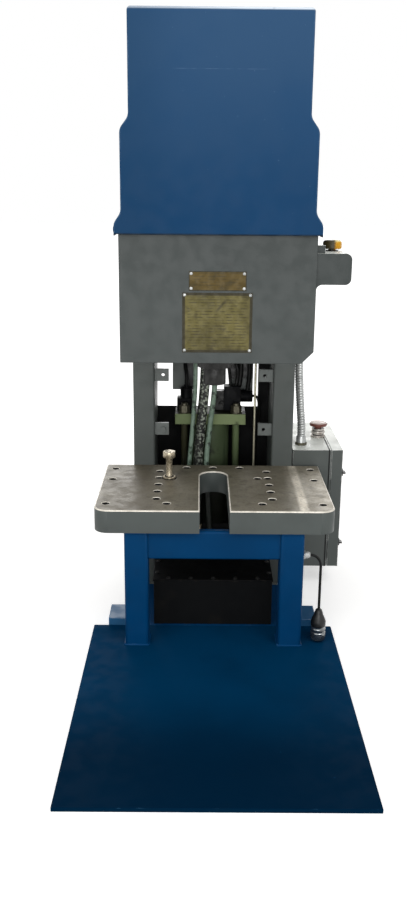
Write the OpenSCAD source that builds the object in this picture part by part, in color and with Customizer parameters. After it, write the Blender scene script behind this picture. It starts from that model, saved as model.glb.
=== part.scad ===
// Hydraulic ironworker: a gray two-column press frame on a blue stand, with a
// slotted work table, a round ram, a stepped hood and a side control enclosure.
// The origin is on the floor under the ram axis: X right, Y to the back, Z up.

/* [Work table] */
// Width of the work table
table_w = 762; // [720:2:800]
// Depth of the work table, front to back
table_d = 490; // [470:2:520]
// Thickness of the work table
table_t = 76; // [60:1:84]
// Height of the work surface above the floor
table_z = 480; // [460:1:500]
// Radius of the two front corners of the table
table_corner_r = 45; // [20:1:60]
// Width of the open slot in the table
slot_w = 95; // [80:1:110]
// Diameter of the tooling holes in the table
tool_hole_d = 25; // [18:1:28]
// Distance from each side of the table in to the outer tooling holes
edge_inset = 34; // [30:1:46]
// Sideways distance from the ram axis to the two long rows of tooling holes
row_hole_x = 188; // [180:1:192]
// Sideways distance from the ram axis to the inner tooling holes
inner_hole_x = 153; // [140:1:160]
// Step between the tooling holes of a long row
row_pitch = 74; // [60:1:76]

/* [Press frame] */
// Width over both columns and over both front legs
frame_w = 572; // [560:2:600]
// Face width of each column and each leg
post_w = 76; // [70:1:80]
// Depth of each column, front to back
column_d = 250; // [246:2:280]
// Wall of the columns
column_wall = 12; // [8:1:16]
// Wall of the legs and rails
leg_wall = 6; // [4:1:8]
// Distance from the ram axis back to the columns
throat_d = 125; // [120:1:135]
// Height of the underside of the head
head_z = 946; // [930:1:980]
// Height of the head, up to the hood
head_h = 374; // [350:2:400]
// Thickness of the plate under the head
head_floor_t = 40; // [30:1:50]
// Thickness of the side and back plates of the head
head_plate_t = 12; // [8:1:16]
// Thickness of the front cover of the head
cover_t = 6; // [3:1:10]
// Size of the cut corner at the lower right of the head
head_cut = 36; // [24:1:44]

/* [Stand] */
// Thickness of the floor plates
deck_t = 12; // [8:1:16]
// Width of the front floor plate
deck_w = 806; // [720:2:860]
// Length of the front floor plate, front to back
deck_len = 965; // [700:5:1100]
// Height of the front apron
apron_h = 95; // [80:1:110]
// Outward reach of each foot pad
pad_reach = 68; // [50:1:80]
// Height of the foot pads
pad_h = 37; // [25:1:45]

/* [Ram] */
// Diameter of the ram rod
ram_d = 70; // [60:1:74]
// Diameter of the punch holder at the end of the ram
holder_d = 76; // [70:1:84]
// Diameter of the punch socket
socket_d = 38; // [25:1:45]
// Depth of the punch socket
socket_h = 40; // [30:1:45]
// Working stroke of the ram
stroke = 150; // [80:5:180]
// Diameter of the gland housing below the head
gland_d = 118; // [100:1:130]
// Reach of the gland housing below the head
gland_drop = 78; // [60:1:90]
// Inside diameter of the press cylinder
cylinder_bore = 160; // [140:1:170]
// Wall of the press cylinder
cylinder_wall = 25; // [15:1:30]

/* [Hood] */
// Width of the hood at its lower edge
hood_w = 602; // [596:2:640]
// Width of the hood above its first step
hood_mid_w = 560; // [540:2:580]
// Width of the hood above its second step
hood_top_w = 510; // [480:2:530]
// Height of the hood above the head
hood_h = 600; // [560:5:660]
// Sheet thickness of the hood
hood_wall = 3; // [2:0.5:4]

/* [Controls] */
// Width of the control enclosure, front to back
box_w = 400; // [360:2:440]
// Height of the control enclosure
box_h = 453; // [420:1:470]
// Depth of the control enclosure without its door
box_d = 140; // [125:1:160]
// Depth of the enclosure door
door_d = 40; // [30:1:50]
// Sheet thickness of the enclosure and its door
box_wall = 2; // [1.5:0.5:3]
// Diameter of the stop button
stop_d = 66; // [56:1:72]
// Travel of the stop button
stop_travel = 6; // [4:0.5:7]
// Diameter of the start button
start_d = 57; // [45:1:62]
// Travel of the start button
start_travel = 4; // [3:0.5:5]
// Sideways reach of the control arm
arm_reach = 102; // [96:1:120]
// Height of the control arm
arm_h = 90; // [70:1:100]
// Diameter of the flexible conduit
conduit_d = 30; // [24:1:32]

/* [Hydraulics] */
// Height of the oil tank
tank_h = 159; // [120:1:180]
// Diameter of the booster barrel
booster_d = 140; // [110:1:144]
// Height of the upper end plate of the booster above the floor
booster_z = 603; // [580:1:620]
// Diameter of the booster tie rods
tie_rod_d = 24; // [16:1:26]
// Diameter of the pressure hose
hose_d = 36; // [25:1:36]
// Diameter of the oil lines
line_d = 16; // [10:1:16]
// Diameter of the foot switch cord
cord_d = 9; // [7:0.5:10]

/* [Hidden] */
$fn = 64;
half_frame = frame_w / 2;
post_in = half_frame - post_w;
post_r = 8;
lug_low = 131;
lug_high = 328;
lug_w = 50;
lug_t = 12;
lug_h = 44;
lug_inset = 12;
lug_hole_in = 30;
lug_hole_r = 6;
leg_setback = 8;
deck_lap = 66;
sole_lap = 20;
apron_setback = 10;
head_setback = 4;
head_lap = 5;
hood_lap = 6;
table_front = throat_d - table_d;
table_under = table_z - table_t;
column_back = throat_d + column_d;
leg_front = table_front + leg_setback;
leg_back = leg_front + post_w;
deck_back = leg_front + post_w + deck_lap;
deck_front = deck_back - deck_len;
sole_back = column_back + sole_lap;
rail_z = table_under - post_w;
apron_y = leg_front + apron_setback;
apron_t = 30;
apron_z = table_under - apron_h;
pad_d = 109;

// Table holes: outer columns, long rows, inner holes and the back row
hole_r = tool_hole_d / 2;
edge_hole_x = table_w / 2 - edge_inset;
edge_steps = [50, 170, 68];
row_step = 78;
inner_steps = [155, 70];
back_step = 33;
edge_rows = [throat_d - edge_steps[0], throat_d - edge_steps[1], table_front + edge_steps[2]];
row_start = throat_d - row_step;
row_rows = [for (i = [0 : 4]) row_start - i * row_pitch];
inner_rows = [throat_d - inner_steps[0], table_front + inner_steps[1]];
back_row_y = throat_d - back_step;
back_row_x = 95;
pin_x = -inner_hole_x;
pin_y = inner_rows[0];
pin_fit = 0.3;
pin_sink = 60;
pin_washer_r = 22;
pin_washer_h = 7;
pin_shank_r = 11;
pin_shank_h = 75;
pin_head_r = 21.5;
pin_head_h = 21;

// Head, hood and cylinder
head_top = head_z + head_h;
head_half = half_frame + 2;
head_front = table_front + head_setback;
plate_front = head_front + cover_t;
head_back = column_back + head_lap;
head_in = head_half - head_plate_t;
head_floor_top = head_z + head_floor_t;
hood_front = head_front - hood_lap;
hood_back = head_back + hood_lap;
hood_top = head_top + hood_h;
hood_skirt = 15;
hood_gap = 0.5;
step_z1 = head_top + 0.05 * hood_h;
step_z2 = head_top + 0.1 * hood_h;
step_z3 = head_top + 0.478 * hood_h;
step_z4 = head_top + 0.533 * hood_h;
seat_t = 10;
gland_z = head_z - gland_drop;
gland_fit = 0.2;
shoulder_h = 24;
piston_h = 60;
barrel_spare = 280;
piston_gap = 30;
flange_w = 28;
cap_w = 14;
bolt_w = 15;
holder_h = 57;
holder_gap = 2;
barrel_top = head_floor_top + shoulder_h + stroke + piston_h + barrel_spare;
barrel_r = cylinder_bore / 2 + cylinder_wall;
flange_r = barrel_r + flange_w;
flange_h = 25;
cap_h = 45;
cap_r = barrel_r + cap_w;
bolt_r = barrel_r + bolt_w;
cap_bolt_r = barrel_r - 8;
piston_top = barrel_top - piston_gap;
run_fit = 0.05;
holder_top = gland_z - holder_gap;
holder_z = holder_top - holder_h;

// Control enclosure and its door
box_gap = 4;
box_setback = 15;
latch_inset = 22;
latch_end = 90;
hinge_end = 70;
panel_gap = 10;
box_x = half_frame + box_gap;
box_front_x = box_x + box_d;
box_y = throat_d + box_setback;
box_back = box_y + box_w;
box_z = 82;
box_top = box_z + box_h;
box_lip = 12;
door_gap = 2;
door_x = box_front_x + door_gap;
door_face = door_x + door_d;
hinge_x = box_front_x + door_gap / 2;
hinge_y = box_back + 6;
knuckle_r = 5.5;
knuckle_h = 20;
pin_r = 3;
hinge_z = [box_z + hinge_end, box_top - hinge_end];
latch_y = box_y + latch_inset;
latch_z = [box_z + latch_end, box_top - latch_end];
latch_r = 6;
knob_gap = 0.4;
stop_x = box_x + 0.8 * box_d;
stop_y = box_y + 0.4725 * box_w;
stop_stem_r = 13;
collar_h = 34;
collar_r = 24;
collar_base_r = 27;
collar_base_h = 9;
collar_ring_r = 26;
collar_ring_h = 8;
collar_floor = 6;
stop_cap_h = 15;
stop_stem_gap = 8;
panel_x = box_x + panel_gap;

// Control arm and start button
arm_rise = 324;
arm_len = 225;
start_step = 112;
stub_w = 24;
stub_h = 22;
stub_step = 10;
button_bore = 34;
conduit_in = 36;
conduit_step = 75;
conduit_gap = 4;
socket_z = 20;
entry_len = 20;
entry_z0 = 12;
arm_top = head_z + arm_rise;
arm_low = arm_top - arm_h;
arm_x = head_half;
arm_end = arm_x + arm_reach;
arm_front = plate_front;
arm_back = arm_front + arm_len;
arm_r = 18;
start_x = arm_x + arm_reach * 0.56;
start_y = arm_front + start_step;
start_stem_r = 11;
start_ring_h = 2.5;
start_cap_h = 26;
conduit_r = conduit_d / 2;
conduit_x = box_x + conduit_in;
conduit_y = box_y + conduit_step;
entry_x = arm_x + 0.42 * arm_reach;
entry_z = arm_low + arm_h / 2;
side_x = head_half + conduit_r + conduit_gap;

// Tank, booster and hoses
tank_gap = 10;
base_half = 130;
base_rear = 40;
valve_box_far = 142;
valve_box_near = 50;
valve_box_gap = 5;
valve_box_h = 235;
lead_box_near = 72;
lead_box_far = 160;
lead_box_h = 240;
tank_end = 35;
booster_step = 170;
end_half = 60;
rod_out = 96;
rod_step = 34;
nut_w = 8;
valve_fore = 6;
valve_aft = 44;
valve_w = 62;
valve_h = 92;
coil_step = 52;
hose_gap = 8;
tank_half = post_in - tank_gap;
tank_front = deck_back + tank_gap;
tank_back = column_back - tank_end;
tank_wall = 4;
lid_t = 6;
tank_top = deck_t + tank_h;
lid_top = tank_top + lid_t;
booster_x = -10;
booster_y = throat_d + booster_step;
booster_r = booster_d / 2;
end_plate_t = 40;
end_plate_w = 260;
end_plate_y = [booster_y - end_half, booster_y + end_half];
base_h = 38;
rod_x = [booster_x - rod_out, booster_x + rod_out];
rod_front_y = booster_y - rod_step;
rod_back_y = booster_y + rod_step;
rod_r = tie_rod_d / 2;
nut_h = 24;
nut_r = rod_r + nut_w;
end_top = booster_z + end_plate_t;
valve_y = [booster_y - valve_fore, booster_y + valve_aft];
hose_r = hose_d / 2;
hose_y = booster_y - booster_r - hose_r - hose_gap;
line_r = line_d / 2;
fitting_h = 45;
duct_w = 39;
duct_d = 40;

// Foot switch cord
cord_r = cord_d / 2;
cord_bend = 4 * cord_d;
gland_step = 42;
gland_rise = 303;
connector_clear = 8;
connector_len = 105;
gland_y = leg_front + gland_step;
gland_cord_z = deck_t + gland_rise;
gland_len = 24;
cord_x = half_frame + gland_len;
drop_x = cord_x + cord_bend;
connector_r = 25;
connector_z = [deck_t + connector_clear, deck_t + connector_clear + connector_len];

// Block between two X, two Y and two Z values
module block(x, y, z) {
  translate([x[0], y[0], z[0]])
    cube([x[1] - x[0], y[1] - y[0], z[1] - z[0]]);
}

// Rectangle with rounded corners, centred
module rounded_rect(w, d, r) {
  square([w - 2 * r, d], center = true);
  square([w, d - 2 * r], center = true);
  for (x = [-1, 1], y = [-1, 1])
    translate([x * (w / 2 - r), y * (d / 2 - r)]) circle(r);
}

// Section of a rounded rectangular tube, centred
module tube_section(w, d, r, wall) {
  difference() {
    rounded_rect(w, d, r);
    rounded_rect(w - 2 * wall, d - 2 * wall, max(r - wall, 1));
  }
}

// Upright rectangular tube
module upright(x, y, z, wall) {
  translate([(x[0] + x[1]) / 2, (y[0] + y[1]) / 2, z[0]])
    linear_extrude(z[1] - z[0])
      tube_section(x[1] - x[0], y[1] - y[0], post_r, wall);
}

// Front outline carried from one Y value to another
module slab(y0, y1) {
  translate([0, y1, 0])
    rotate([90, 0, 0])
      linear_extrude(y1 - y0) children();
}

// Points of a smooth run through a list of stations
function blend(a, b, c, d, t) = 0.5 * (2 * b + (c - a) * t
  + (2 * a - 5 * b + 4 * c - d) * t * t + (3 * b - a - 3 * c + d) * t * t * t);
function station(p, i) = p[min(max(i, 0), len(p) - 1)];
function smooth(p, n) = concat(
  [for (i = [0 : len(p) - 2], k = [0 : n - 1])
    blend(station(p, i - 1), p[i], p[i + 1], station(p, i + 2), k / n)],
  [p[len(p) - 1]]);
function unit(v) = v / norm(v);
function heading(p, i) = unit(station(p, i + 1) - station(p, i - 1));

// Round run along a list of points; the side vector sets where its rings begin
module run(p, r, sides, side) {
  n = len(p);
  rings = [for (i = [0 : n - 1])
    let (t = heading(p, i), u = unit(cross(t, side)), v = cross(t, u))
    for (k = [0 : sides - 1])
      p[i] + r * (cos(360 * k / sides) * u + sin(360 * k / sides) * v)];
  walls = [for (i = [0 : n - 2], k = [0 : sides - 1])
    let (a = i * sides + k, b = i * sides + (k + 1) % sides)
    each [[a, b, b + sides], [a, b + sides, a + sides]]];
  start = [[for (k = [0 : sides - 1]) sides - 1 - k]];
  finish = [[for (k = [0 : sides - 1]) (n - 1) * sides + k]];
  polyhedron(rings, concat(walls, start, finish), convexity = 6);
}

// Floor plate under the columns and the tank
module sole_plate() {
  color("#23457a")
    block([-half_frame, half_frame], [deck_back, sole_back], [0, deck_t]);
}

// Floor plate reaching out in front of the stand
module deck_plate() {
  color("#1d3563")
    block([-deck_w / 2, deck_w / 2], [deck_front, deck_back], [0, deck_t]);
}

module left_front_leg() {
  color("#2a4f8c")
    upright([-half_frame, -post_in], [leg_front, leg_back], [deck_t, table_under], leg_wall);
}

// Right leg, with a hole for the cord gland
module right_front_leg() {
  color("#2a4f8c")
    difference() {
      upright([post_in, half_frame], [leg_front, leg_back], [deck_t, table_under], leg_wall);
      translate([half_frame - leg_wall - 1, gland_y, gland_cord_z])
        rotate([0, 90, 0]) cylinder(r = cord_r + 3, h = leg_wall + 2);
    }
}

// Cross tube between the front legs, just under the table
module front_apron() {
  color("#2a4f8c")
    translate([-post_in, apron_y + apron_t / 2, apron_z + apron_h / 2])
      rotate([90, 0, 90])
        linear_extrude(2 * post_in)
          tube_section(apron_t, apron_h, 7, 5);
}

// Tube from a front leg back to the column on the same side
module side_rail(x) {
  translate([x, throat_d, rail_z + post_w / 2])
    rotate([90, 0, 0])
      linear_extrude(throat_d - leg_back)
        tube_section(post_w, post_w, post_r, leg_wall);
}

module left_side_rail() {
  color("#2a4f8c") side_rail(-half_frame + post_w / 2);
}

module right_side_rail() {
  color("#2a4f8c") side_rail(half_frame - post_w / 2);
}

// Outrigger pads welded to the edges of the sole plate
module foot_pads() {
  color("#2a4f8c")
    for (s = [-1, 1])
      translate([s * (half_frame + pad_reach / 2), deck_back + pad_d / 2, 0])
        linear_extrude(pad_h)
          square([pad_reach, pad_d], center = true);
}

// Outline of the table: front corners rounded, back corners square
module table_outline() {
  translate([-table_w / 2, table_front + table_corner_r])
    square([table_w, table_d - table_corner_r]);
  translate([-table_w / 2 + table_corner_r, table_front])
    square([table_w - 2 * table_corner_r, table_d]);
  for (s = [-1, 1])
    translate([s * (table_w / 2 - table_corner_r), table_front + table_corner_r])
      circle(table_corner_r);
}

// All round tooling holes of the table
module table_holes() {
  for (s = [-1, 1]) {
    for (y = edge_rows) translate([s * edge_hole_x, y]) circle(hole_r);
    for (y = row_rows) translate([s * row_hole_x, y]) circle(hole_r);
    for (y = inner_rows) translate([s * inner_hole_x, y]) circle(hole_r);
    translate([s * back_row_x, back_row_y]) circle(hole_r);
  }
  translate([0, back_row_y]) circle(hole_r);
}

// Thick table with an open slot that ends round under the ram
module work_table() {
  color("#6d675f")
    translate([0, 0, table_under])
      linear_extrude(table_t)
        difference() {
          table_outline();
          translate([-slot_w / 2, table_front - 1])
            square([slot_w, 1 - table_front]);
          circle(slot_w / 2);
          table_holes();
        }
}

// Headed stop pin standing in an inner tooling hole
module stop_pin() {
  color("#4d4a46")
    translate([pin_x, pin_y, table_z]) {
      translate([0, 0, -pin_sink]) cylinder(r = hole_r - pin_fit, h = pin_sink + 1);
      cylinder(r = pin_washer_r, h = pin_washer_h);
      cylinder(r = pin_shank_r, h = pin_shank_h + 1);
      translate([0, 0, pin_shank_h]) cylinder(r = pin_head_r, h = pin_head_h);
    }
}

module left_column() {
  color("#5a6060")
    upright([-half_frame, -post_in], [throat_d, column_back], [deck_t, head_z], column_wall);
}

module right_column() {
  color("#5a6060")
    upright([post_in, half_frame], [throat_d, column_back], [deck_t, head_z], column_wall);
}

// Four drilled lugs on the inner faces of the columns
module guard_lugs() {
  color("#5a6060")
    for (s = [-1, 1], z = [table_z + lug_low, table_z + lug_high])
      difference() {
        translate([s * (post_in - lug_w / 2), throat_d + lug_inset + lug_t / 2, z])
          cube([lug_w, lug_t, lug_h], center = true);
        translate([s * (post_in - lug_hole_in), throat_d + lug_inset + lug_t + 1, z])
          rotate([90, 0, 0]) cylinder(r = lug_hole_r, h = lug_t + 2);
      }
}

// Dark sheet behind the lower part of the columns
module rear_panel() {
  color("#26282a")
    block([-half_frame + 12, half_frame - 12], [column_back, column_back + 3],
      [deck_t + 20, table_z + 160]);
}

// Thick plate under the head, bored for the gland housing
module head_floor_plate() {
  color("#5a6060")
    difference() {
      slab(plate_front, head_back - head_plate_t)
        polygon([[-head_in, head_z], [head_half - head_cut, head_z],
          [head_in, head_z + head_cut - head_plate_t], [head_in, head_floor_top],
          [-head_in, head_floor_top]]);
      translate([0, 0, head_z - 1]) cylinder(d = gland_d + 2 * gland_fit, h = head_floor_t + 2);
    }
}

module left_head_plate() {
  color("#5a6060")
    block([-head_half, -head_in], [plate_front, head_back], [head_z, head_top]);
}

// Right head plate, its lower edge following the cut corner
module right_head_plate() {
  color("#5a6060")
    slab(plate_front, head_back)
      polygon([[head_in, head_z + head_cut - head_plate_t], [head_half, head_z + head_cut],
        [head_half, head_top], [head_in, head_top]]);
}

module head_back_plate() {
  color("#5a6060")
    block([-head_in, head_in], [head_back - head_plate_t, head_back], [head_floor_top, head_top]);
}

// Flat front of the head with its cut corner
module head_front_cover() {
  color("#5a6060")
    slab(head_front, plate_front)
      polygon([[-head_half, head_z], [head_half - head_cut, head_z],
        [head_half, head_z + head_cut], [head_half, head_top], [-head_half, head_top]]);
}

// Flat ring on top of the head that carries the hood
module hood_seat() {
  seat_half = hood_w / 2 - hood_wall - hood_gap;
  color("#3d4244")
    difference() {
      block([-seat_half, seat_half],
        [hood_front + hood_wall + hood_gap, hood_back - hood_wall - hood_gap],
        [head_top, head_top + seat_t]);
      block([-head_in + 20, head_in - 20], [plate_front + 20, head_back - 40],
        [head_top - 1, head_top + seat_t + 1]);
    }
}

// Front outline of the hood, drawn in by a wall thickness
module hood_outline(t) {
  a = hood_w / 2 - t;
  b = hood_mid_w / 2 - t;
  c = hood_top_w / 2 - t;
  low = head_top - hood_skirt - t;
  polygon([[-a, low], [a, low], [a, step_z1], [b, step_z2], [b, step_z3], [c, step_z4],
    [c, hood_top - t], [-c, hood_top - t], [-c, step_z4], [-b, step_z3], [-b, step_z2],
    [-a, step_z1]]);
}

// Stepped sheet hood, open below, its sides hanging lower than its front
module hood() {
  color("#3f6ea8")
    difference() {
      slab(hood_front, hood_back) hood_outline(0);
      slab(hood_front + hood_wall, hood_back - hood_wall) hood_outline(hood_wall);
      block([hood_wall - hood_w / 2, hood_w / 2 - hood_wall],
        [hood_front - 1, hood_back + 1], [head_top - hood_skirt - 5, head_top]);
    }
}

// Flanged press cylinder standing on the head floor plate
module cylinder_barrel() {
  color("#4a4e50")
    translate([0, 0, head_floor_top])
      difference() {
        union() {
          cylinder(r = barrel_r, h = barrel_top - head_floor_top);
          cylinder(r = flange_r, h = flange_h);
        }
        translate([0, 0, -1]) cylinder(d = cylinder_bore, h = barrel_top - head_floor_top + 2);
      }
}

module cylinder_cap() {
  color("#4a4e50")
    translate([0, 0, barrel_top]) cylinder(r = cap_r, h = cap_h);
}

// Gland housing through the head floor plate, with its shoulder inside the cylinder
module cylinder_gland() {
  color("#3f4345")
    difference() {
      union() {
        translate([0, 0, gland_z])
          cylinder(d = gland_d, h = head_floor_top - gland_z + 1);
        translate([0, 0, head_floor_top])
          cylinder(d = cylinder_bore - 2 * gland_fit, h = shoulder_h);
      }
      translate([0, 0, gland_z - 1])
        cylinder(d = ram_d + 2 * run_fit, h = head_floor_top + shoulder_h - gland_z + 2);
    }
}

// Hexagon heads on the cylinder flange and on its cap
module cylinder_bolts() {
  color("#2c2e30")
    for (i = [0 : 7]) {
      rotate([0, 0, 22.5 + 45 * i])
        translate([bolt_r, 0, head_floor_top + flange_h])
          cylinder(r = 11, h = 12, $fn = 6);
      rotate([0, 0, 22.5 + 45 * i])
        translate([cap_bolt_r, 0, barrel_top + cap_h])
          cylinder(r = 11, h = 12, $fn = 6);
    }
}

module piston() {
  color("#8d9193")
    translate([0, 0, piston_top - piston_h])
      cylinder(d = cylinder_bore - 2 * run_fit, h = piston_h);
}

module ram_rod() {
  color("#a9adaf")
    translate([0, 0, holder_top])
      cylinder(d = ram_d, h = piston_top - piston_h - holder_top);
}

// Punch holder on the lower end of the ram, with its open socket
module punch_holder() {
  color("#3a3b3c")
    difference() {
      translate([0, 0, holder_z]) cylinder(d = holder_d, h = holder_top - holder_z);
      translate([0, 0, holder_z - 1]) cylinder(d = socket_d, h = socket_h + 1);
    }
}

// Front outline of the control arm, with a hollow fillet under its root
module arm_outline() {
  translate([arm_x, arm_low]) square([arm_reach - arm_r, arm_h]);
  translate([arm_x, arm_low + arm_r]) square([arm_reach, arm_h - 2 * arm_r]);
  for (z = [arm_low + arm_r, arm_top - arm_r])
    translate([arm_end - arm_r, z]) circle(arm_r);
  difference() {
    translate([arm_x, arm_low - arm_r]) square([arm_r, arm_r + 1]);
    translate([arm_x + arm_r, arm_low - arm_r]) circle(arm_r);
  }
}

// Arm on the right of the head that carries the start button
module control_arm() {
  color("#5a6060")
    difference() {
      union() {
        slab(arm_front, arm_back) arm_outline();
        block([arm_x, arm_x + stub_w], [arm_front + stub_step, arm_front + stub_step + stub_w],
          [arm_top - 1, arm_top + stub_h]);
      }
      translate([start_x, start_y, arm_top - button_bore])
        cylinder(r = start_stem_r + 2 * run_fit, h = button_bore + 6);
    }
}

module start_ring() {
  color("#2b2d2f")
    translate([start_x, start_y, arm_top])
      difference() {
        cylinder(r = 19, h = start_ring_h);
        translate([0, 0, -1]) cylinder(r = start_stem_r + 2 * run_fit, h = start_ring_h + 2);
      }
}

// Palm button: stem in the arm, wide cap above
module start_button() {
  cap_z = start_ring_h + start_travel + 0.5;
  color("#d8b21c")
    translate([start_x, start_y, arm_top]) {
      translate([0, 0, -24]) cylinder(r = start_stem_r, h = 24 + cap_z + 1);
      translate([0, 0, cap_z]) cylinder(d = start_d, h = start_cap_h);
    }
}

// Stations of the conduit, from the enclosure to the back of the control arm
conduit_rise = head_z - box_top;
conduit_reach = conduit_y - arm_back - 2 * entry_len;
conduit_climb = entry_z - head_z;
conduit_path = [
  [conduit_x, conduit_y, box_top + socket_z],
  [conduit_x, conduit_y, box_top + 1.5 * socket_z],
  [conduit_x, conduit_y, box_top + 2 * socket_z],
  [conduit_x - 0.05 * conduit_d, conduit_y, box_top + 0.2 * conduit_rise],
  [conduit_x - 0.3 * conduit_d, conduit_y - 0.007 * conduit_reach, box_top + 0.4 * conduit_rise],
  [side_x + 0.08 * conduit_d, conduit_y - 0.016 * conduit_reach, box_top + 0.65 * conduit_rise],
  [side_x, conduit_y - 0.04 * conduit_reach, box_top + 0.9 * conduit_rise],
  [side_x, conduit_y - 0.092 * conduit_reach, head_z + 0.215 * conduit_climb],
  [side_x + 0.2 * conduit_d, conduit_y - 0.223 * conduit_reach, head_z + 0.556 * conduit_climb],
  [side_x + 0.54 * conduit_d, conduit_y - 0.475 * conduit_reach, head_z + 0.857 * conduit_climb],
  [entry_x - 0.12 * conduit_d, conduit_y - 0.787 * conduit_reach, head_z + 0.978 * conduit_climb],
  [entry_x, arm_back + 2 * entry_len, entry_z],
  [entry_x, arm_back + entry_len, entry_z],
  [entry_x, arm_back + entry_z0, entry_z]
];

// Flexible conduit from the enclosure up to the control arm
module conduit() {
  color("#8f9496")
    run(smooth(conduit_path, 3), conduit_r, 12, [1, 0, 0]);
}

// Conduit fittings on the enclosure and on the control arm
module conduit_fittings() {
  color("#9da2a4") {
    translate([conduit_x, conduit_y, box_top])
      difference() {
        union() {
          cylinder(r = conduit_r + 7, h = 10, $fn = 6);
          cylinder(r = conduit_r + 3, h = 34);
        }
        translate([0, 0, socket_z]) cylinder(r = conduit_r + 0.5, h = socket_z);
      }
    translate([entry_x, arm_back, entry_z])
      rotate([-90, 0, 0])
        difference() {
          union() {
            cylinder(r = conduit_r + 7, h = 9, $fn = 6);
            cylinder(r = conduit_r + 3, h = 30);
          }
          translate([0, 0, entry_z0]) cylinder(r = conduit_r + 0.5, h = entry_len);
        }
  }
}

// Knuckles of one hinge, offset along the pin by a list of heights
module knuckles(heights, side) {
  for (z = hinge_z, k = heights)
    translate([hinge_x, hinge_y, z + k]) {
      difference() {
        union() {
          cylinder(r = knuckle_r, h = knuckle_h - 1);
          translate([side > 0 ? 2 : -26, -6, 0]) cube([24, 3, knuckle_h - 1]);
          translate([side > 0 ? 0 : -4, -6, 0]) cube([4, 3.5, knuckle_h - 1]);
        }
        translate([0, 0, -1]) cylinder(r = pin_r + run_fit, h = knuckle_h + 2);
      }
    }
}

// Sheet enclosure on the right column, open to the right with a turned lip
module enclosure_box() {
  color("#5a6060") {
    difference() {
      block([box_x, box_front_x], [box_y, box_back], [box_z, box_top]);
      block([box_x + box_wall, box_front_x - box_wall], [box_y + box_wall, box_back - box_wall],
        [box_z + box_wall, box_top - box_wall]);
      block([box_front_x - box_wall - 1, box_front_x + 1], [box_y + box_lip, box_back - box_lip],
        [box_z + box_lip, box_top - box_lip]);
    }
    for (z = [box_z + 60, box_top - 100])
      block([half_frame, box_x + 0.5], [box_y + 20, column_back - 15], [z, z + 40]);
    knuckles([-1.5 * knuckle_h, 0.5 * knuckle_h], -1);
  }
}

// Plate inside the enclosure on four standoffs
module mounting_panel() {
  color("#b5b09a") {
    block([panel_x, panel_x + 2], [box_y + 30, box_back - 30], [box_z + 30, box_top - 30]);
    for (y = [box_y + 45, box_back - 45], z = [box_z + 45, box_top - 45])
      translate([box_x + box_wall, y, z])
        rotate([0, 90, 0]) cylinder(r = 6, h = panel_x - box_x - box_wall);
  }
}

// Contactor block on the mounting panel
module contactor() {
  color("#2b2d2f") {
    block([panel_x + 2, panel_x + 62], [box_y + 60, box_y + 140], [box_top - 150, box_top - 60]);
    block([panel_x + 61, panel_x + 80], [box_y + 75, box_y + 125], [box_top - 135, box_top - 75]);
  }
}

// Pan door of the enclosure, with latch holes and its own hinge knuckles
module enclosure_door() {
  color("#5a6060") {
    difference() {
      block([door_x, door_face], [box_y, box_back], [box_z, box_top]);
      block([door_x - 1, door_face - box_wall], [box_y + box_wall, box_back - box_wall],
        [box_z + box_wall, box_top - box_wall]);
      for (z = latch_z)
        translate([door_face - box_wall - 1, latch_y, z])
          rotate([0, 90, 0]) cylinder(r = latch_r + run_fit, h = box_wall + 2);
    }
    knuckles([-0.5 * knuckle_h], 1);
  }
}

module hinge_pins() {
  color("#8d9193")
    for (z = hinge_z)
      translate([hinge_x, hinge_y, z - 1.5 * knuckle_h - 2]) {
        cylinder(r = pin_r, h = 3 * knuckle_h + 3);
        cylinder(r = pin_r + 1.5, h = 2);
      }
}

// Quarter-turn latch: knob outside, shank through the door, cam inside
module latch(z) {
  translate([door_face, latch_y, z])
    rotate([0, 90, 0]) {
      translate([0, 0, knob_gap]) cylinder(r = 14, h = 5);
      translate([0, 0, 9.5]) cube([6, 24, 11], center = true);
      translate([0, 0, -box_wall - 15]) cylinder(r = latch_r, h = box_wall + 16);
      translate([0, -3, -box_wall - 12]) cube([12, 24, 4], center = true);
    }
}

module upper_latch() {
  color("#2b2d2f") latch(latch_z[1]);
}

module lower_latch() {
  color("#2b2d2f") latch(latch_z[0]);
}

// Metal collar of the stop button, on top of the enclosure
module stop_collar() {
  color("#a4a7a8")
    translate([stop_x, stop_y, box_top])
      difference() {
        union() {
          cylinder(r = collar_base_r, h = collar_base_h);
          cylinder(r = collar_r, h = collar_h);
          translate([0, 0, collar_base_h + collar_ring_h])
            cylinder(r = collar_ring_r, h = collar_ring_h);
        }
        translate([0, 0, collar_floor])
          cylinder(r = stop_stem_r + 2 * run_fit, h = collar_h);
      }
}

// Mushroom stop button that slides down into its collar
module stop_button() {
  cap_z = collar_h + stop_travel + 3;
  color("#b4473c")
    translate([stop_x, stop_y, box_top]) {
      translate([0, 0, collar_floor + stop_stem_gap])
        cylinder(r = stop_stem_r, h = cap_z - collar_floor - stop_stem_gap + 1);
      translate([0, 0, cap_z]) cylinder(d = stop_d, h = stop_cap_h);
    }
}

// Open-topped oil tank between the legs
module oil_tank() {
  color("#2d2f31")
    difference() {
      block([-tank_half, tank_half], [tank_front, tank_back], [deck_t, tank_top]);
      block([tank_wall - tank_half, tank_half - tank_wall],
        [tank_front + tank_wall, tank_back - tank_wall], [deck_t + tank_wall, tank_top + 1]);
    }
}

module tank_lid() {
  color("#2d2f31")
    block([-tank_half - 3, tank_half + 3], [tank_front - 3, tank_back + 3], [tank_top, lid_top]);
}

// Square foot of the booster on the tank lid
module booster_base() {
  color("#9fb59a")
    block([booster_x - base_half, booster_x + base_half],
      [booster_y - end_half, booster_y + base_rear], [lid_top, lid_top + base_h]);
}

module booster_barrel() {
  color("#9fb59a")
    translate([booster_x, booster_y, lid_top + base_h])
      cylinder(r = booster_r, h = booster_z - lid_top - base_h);
}

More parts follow.
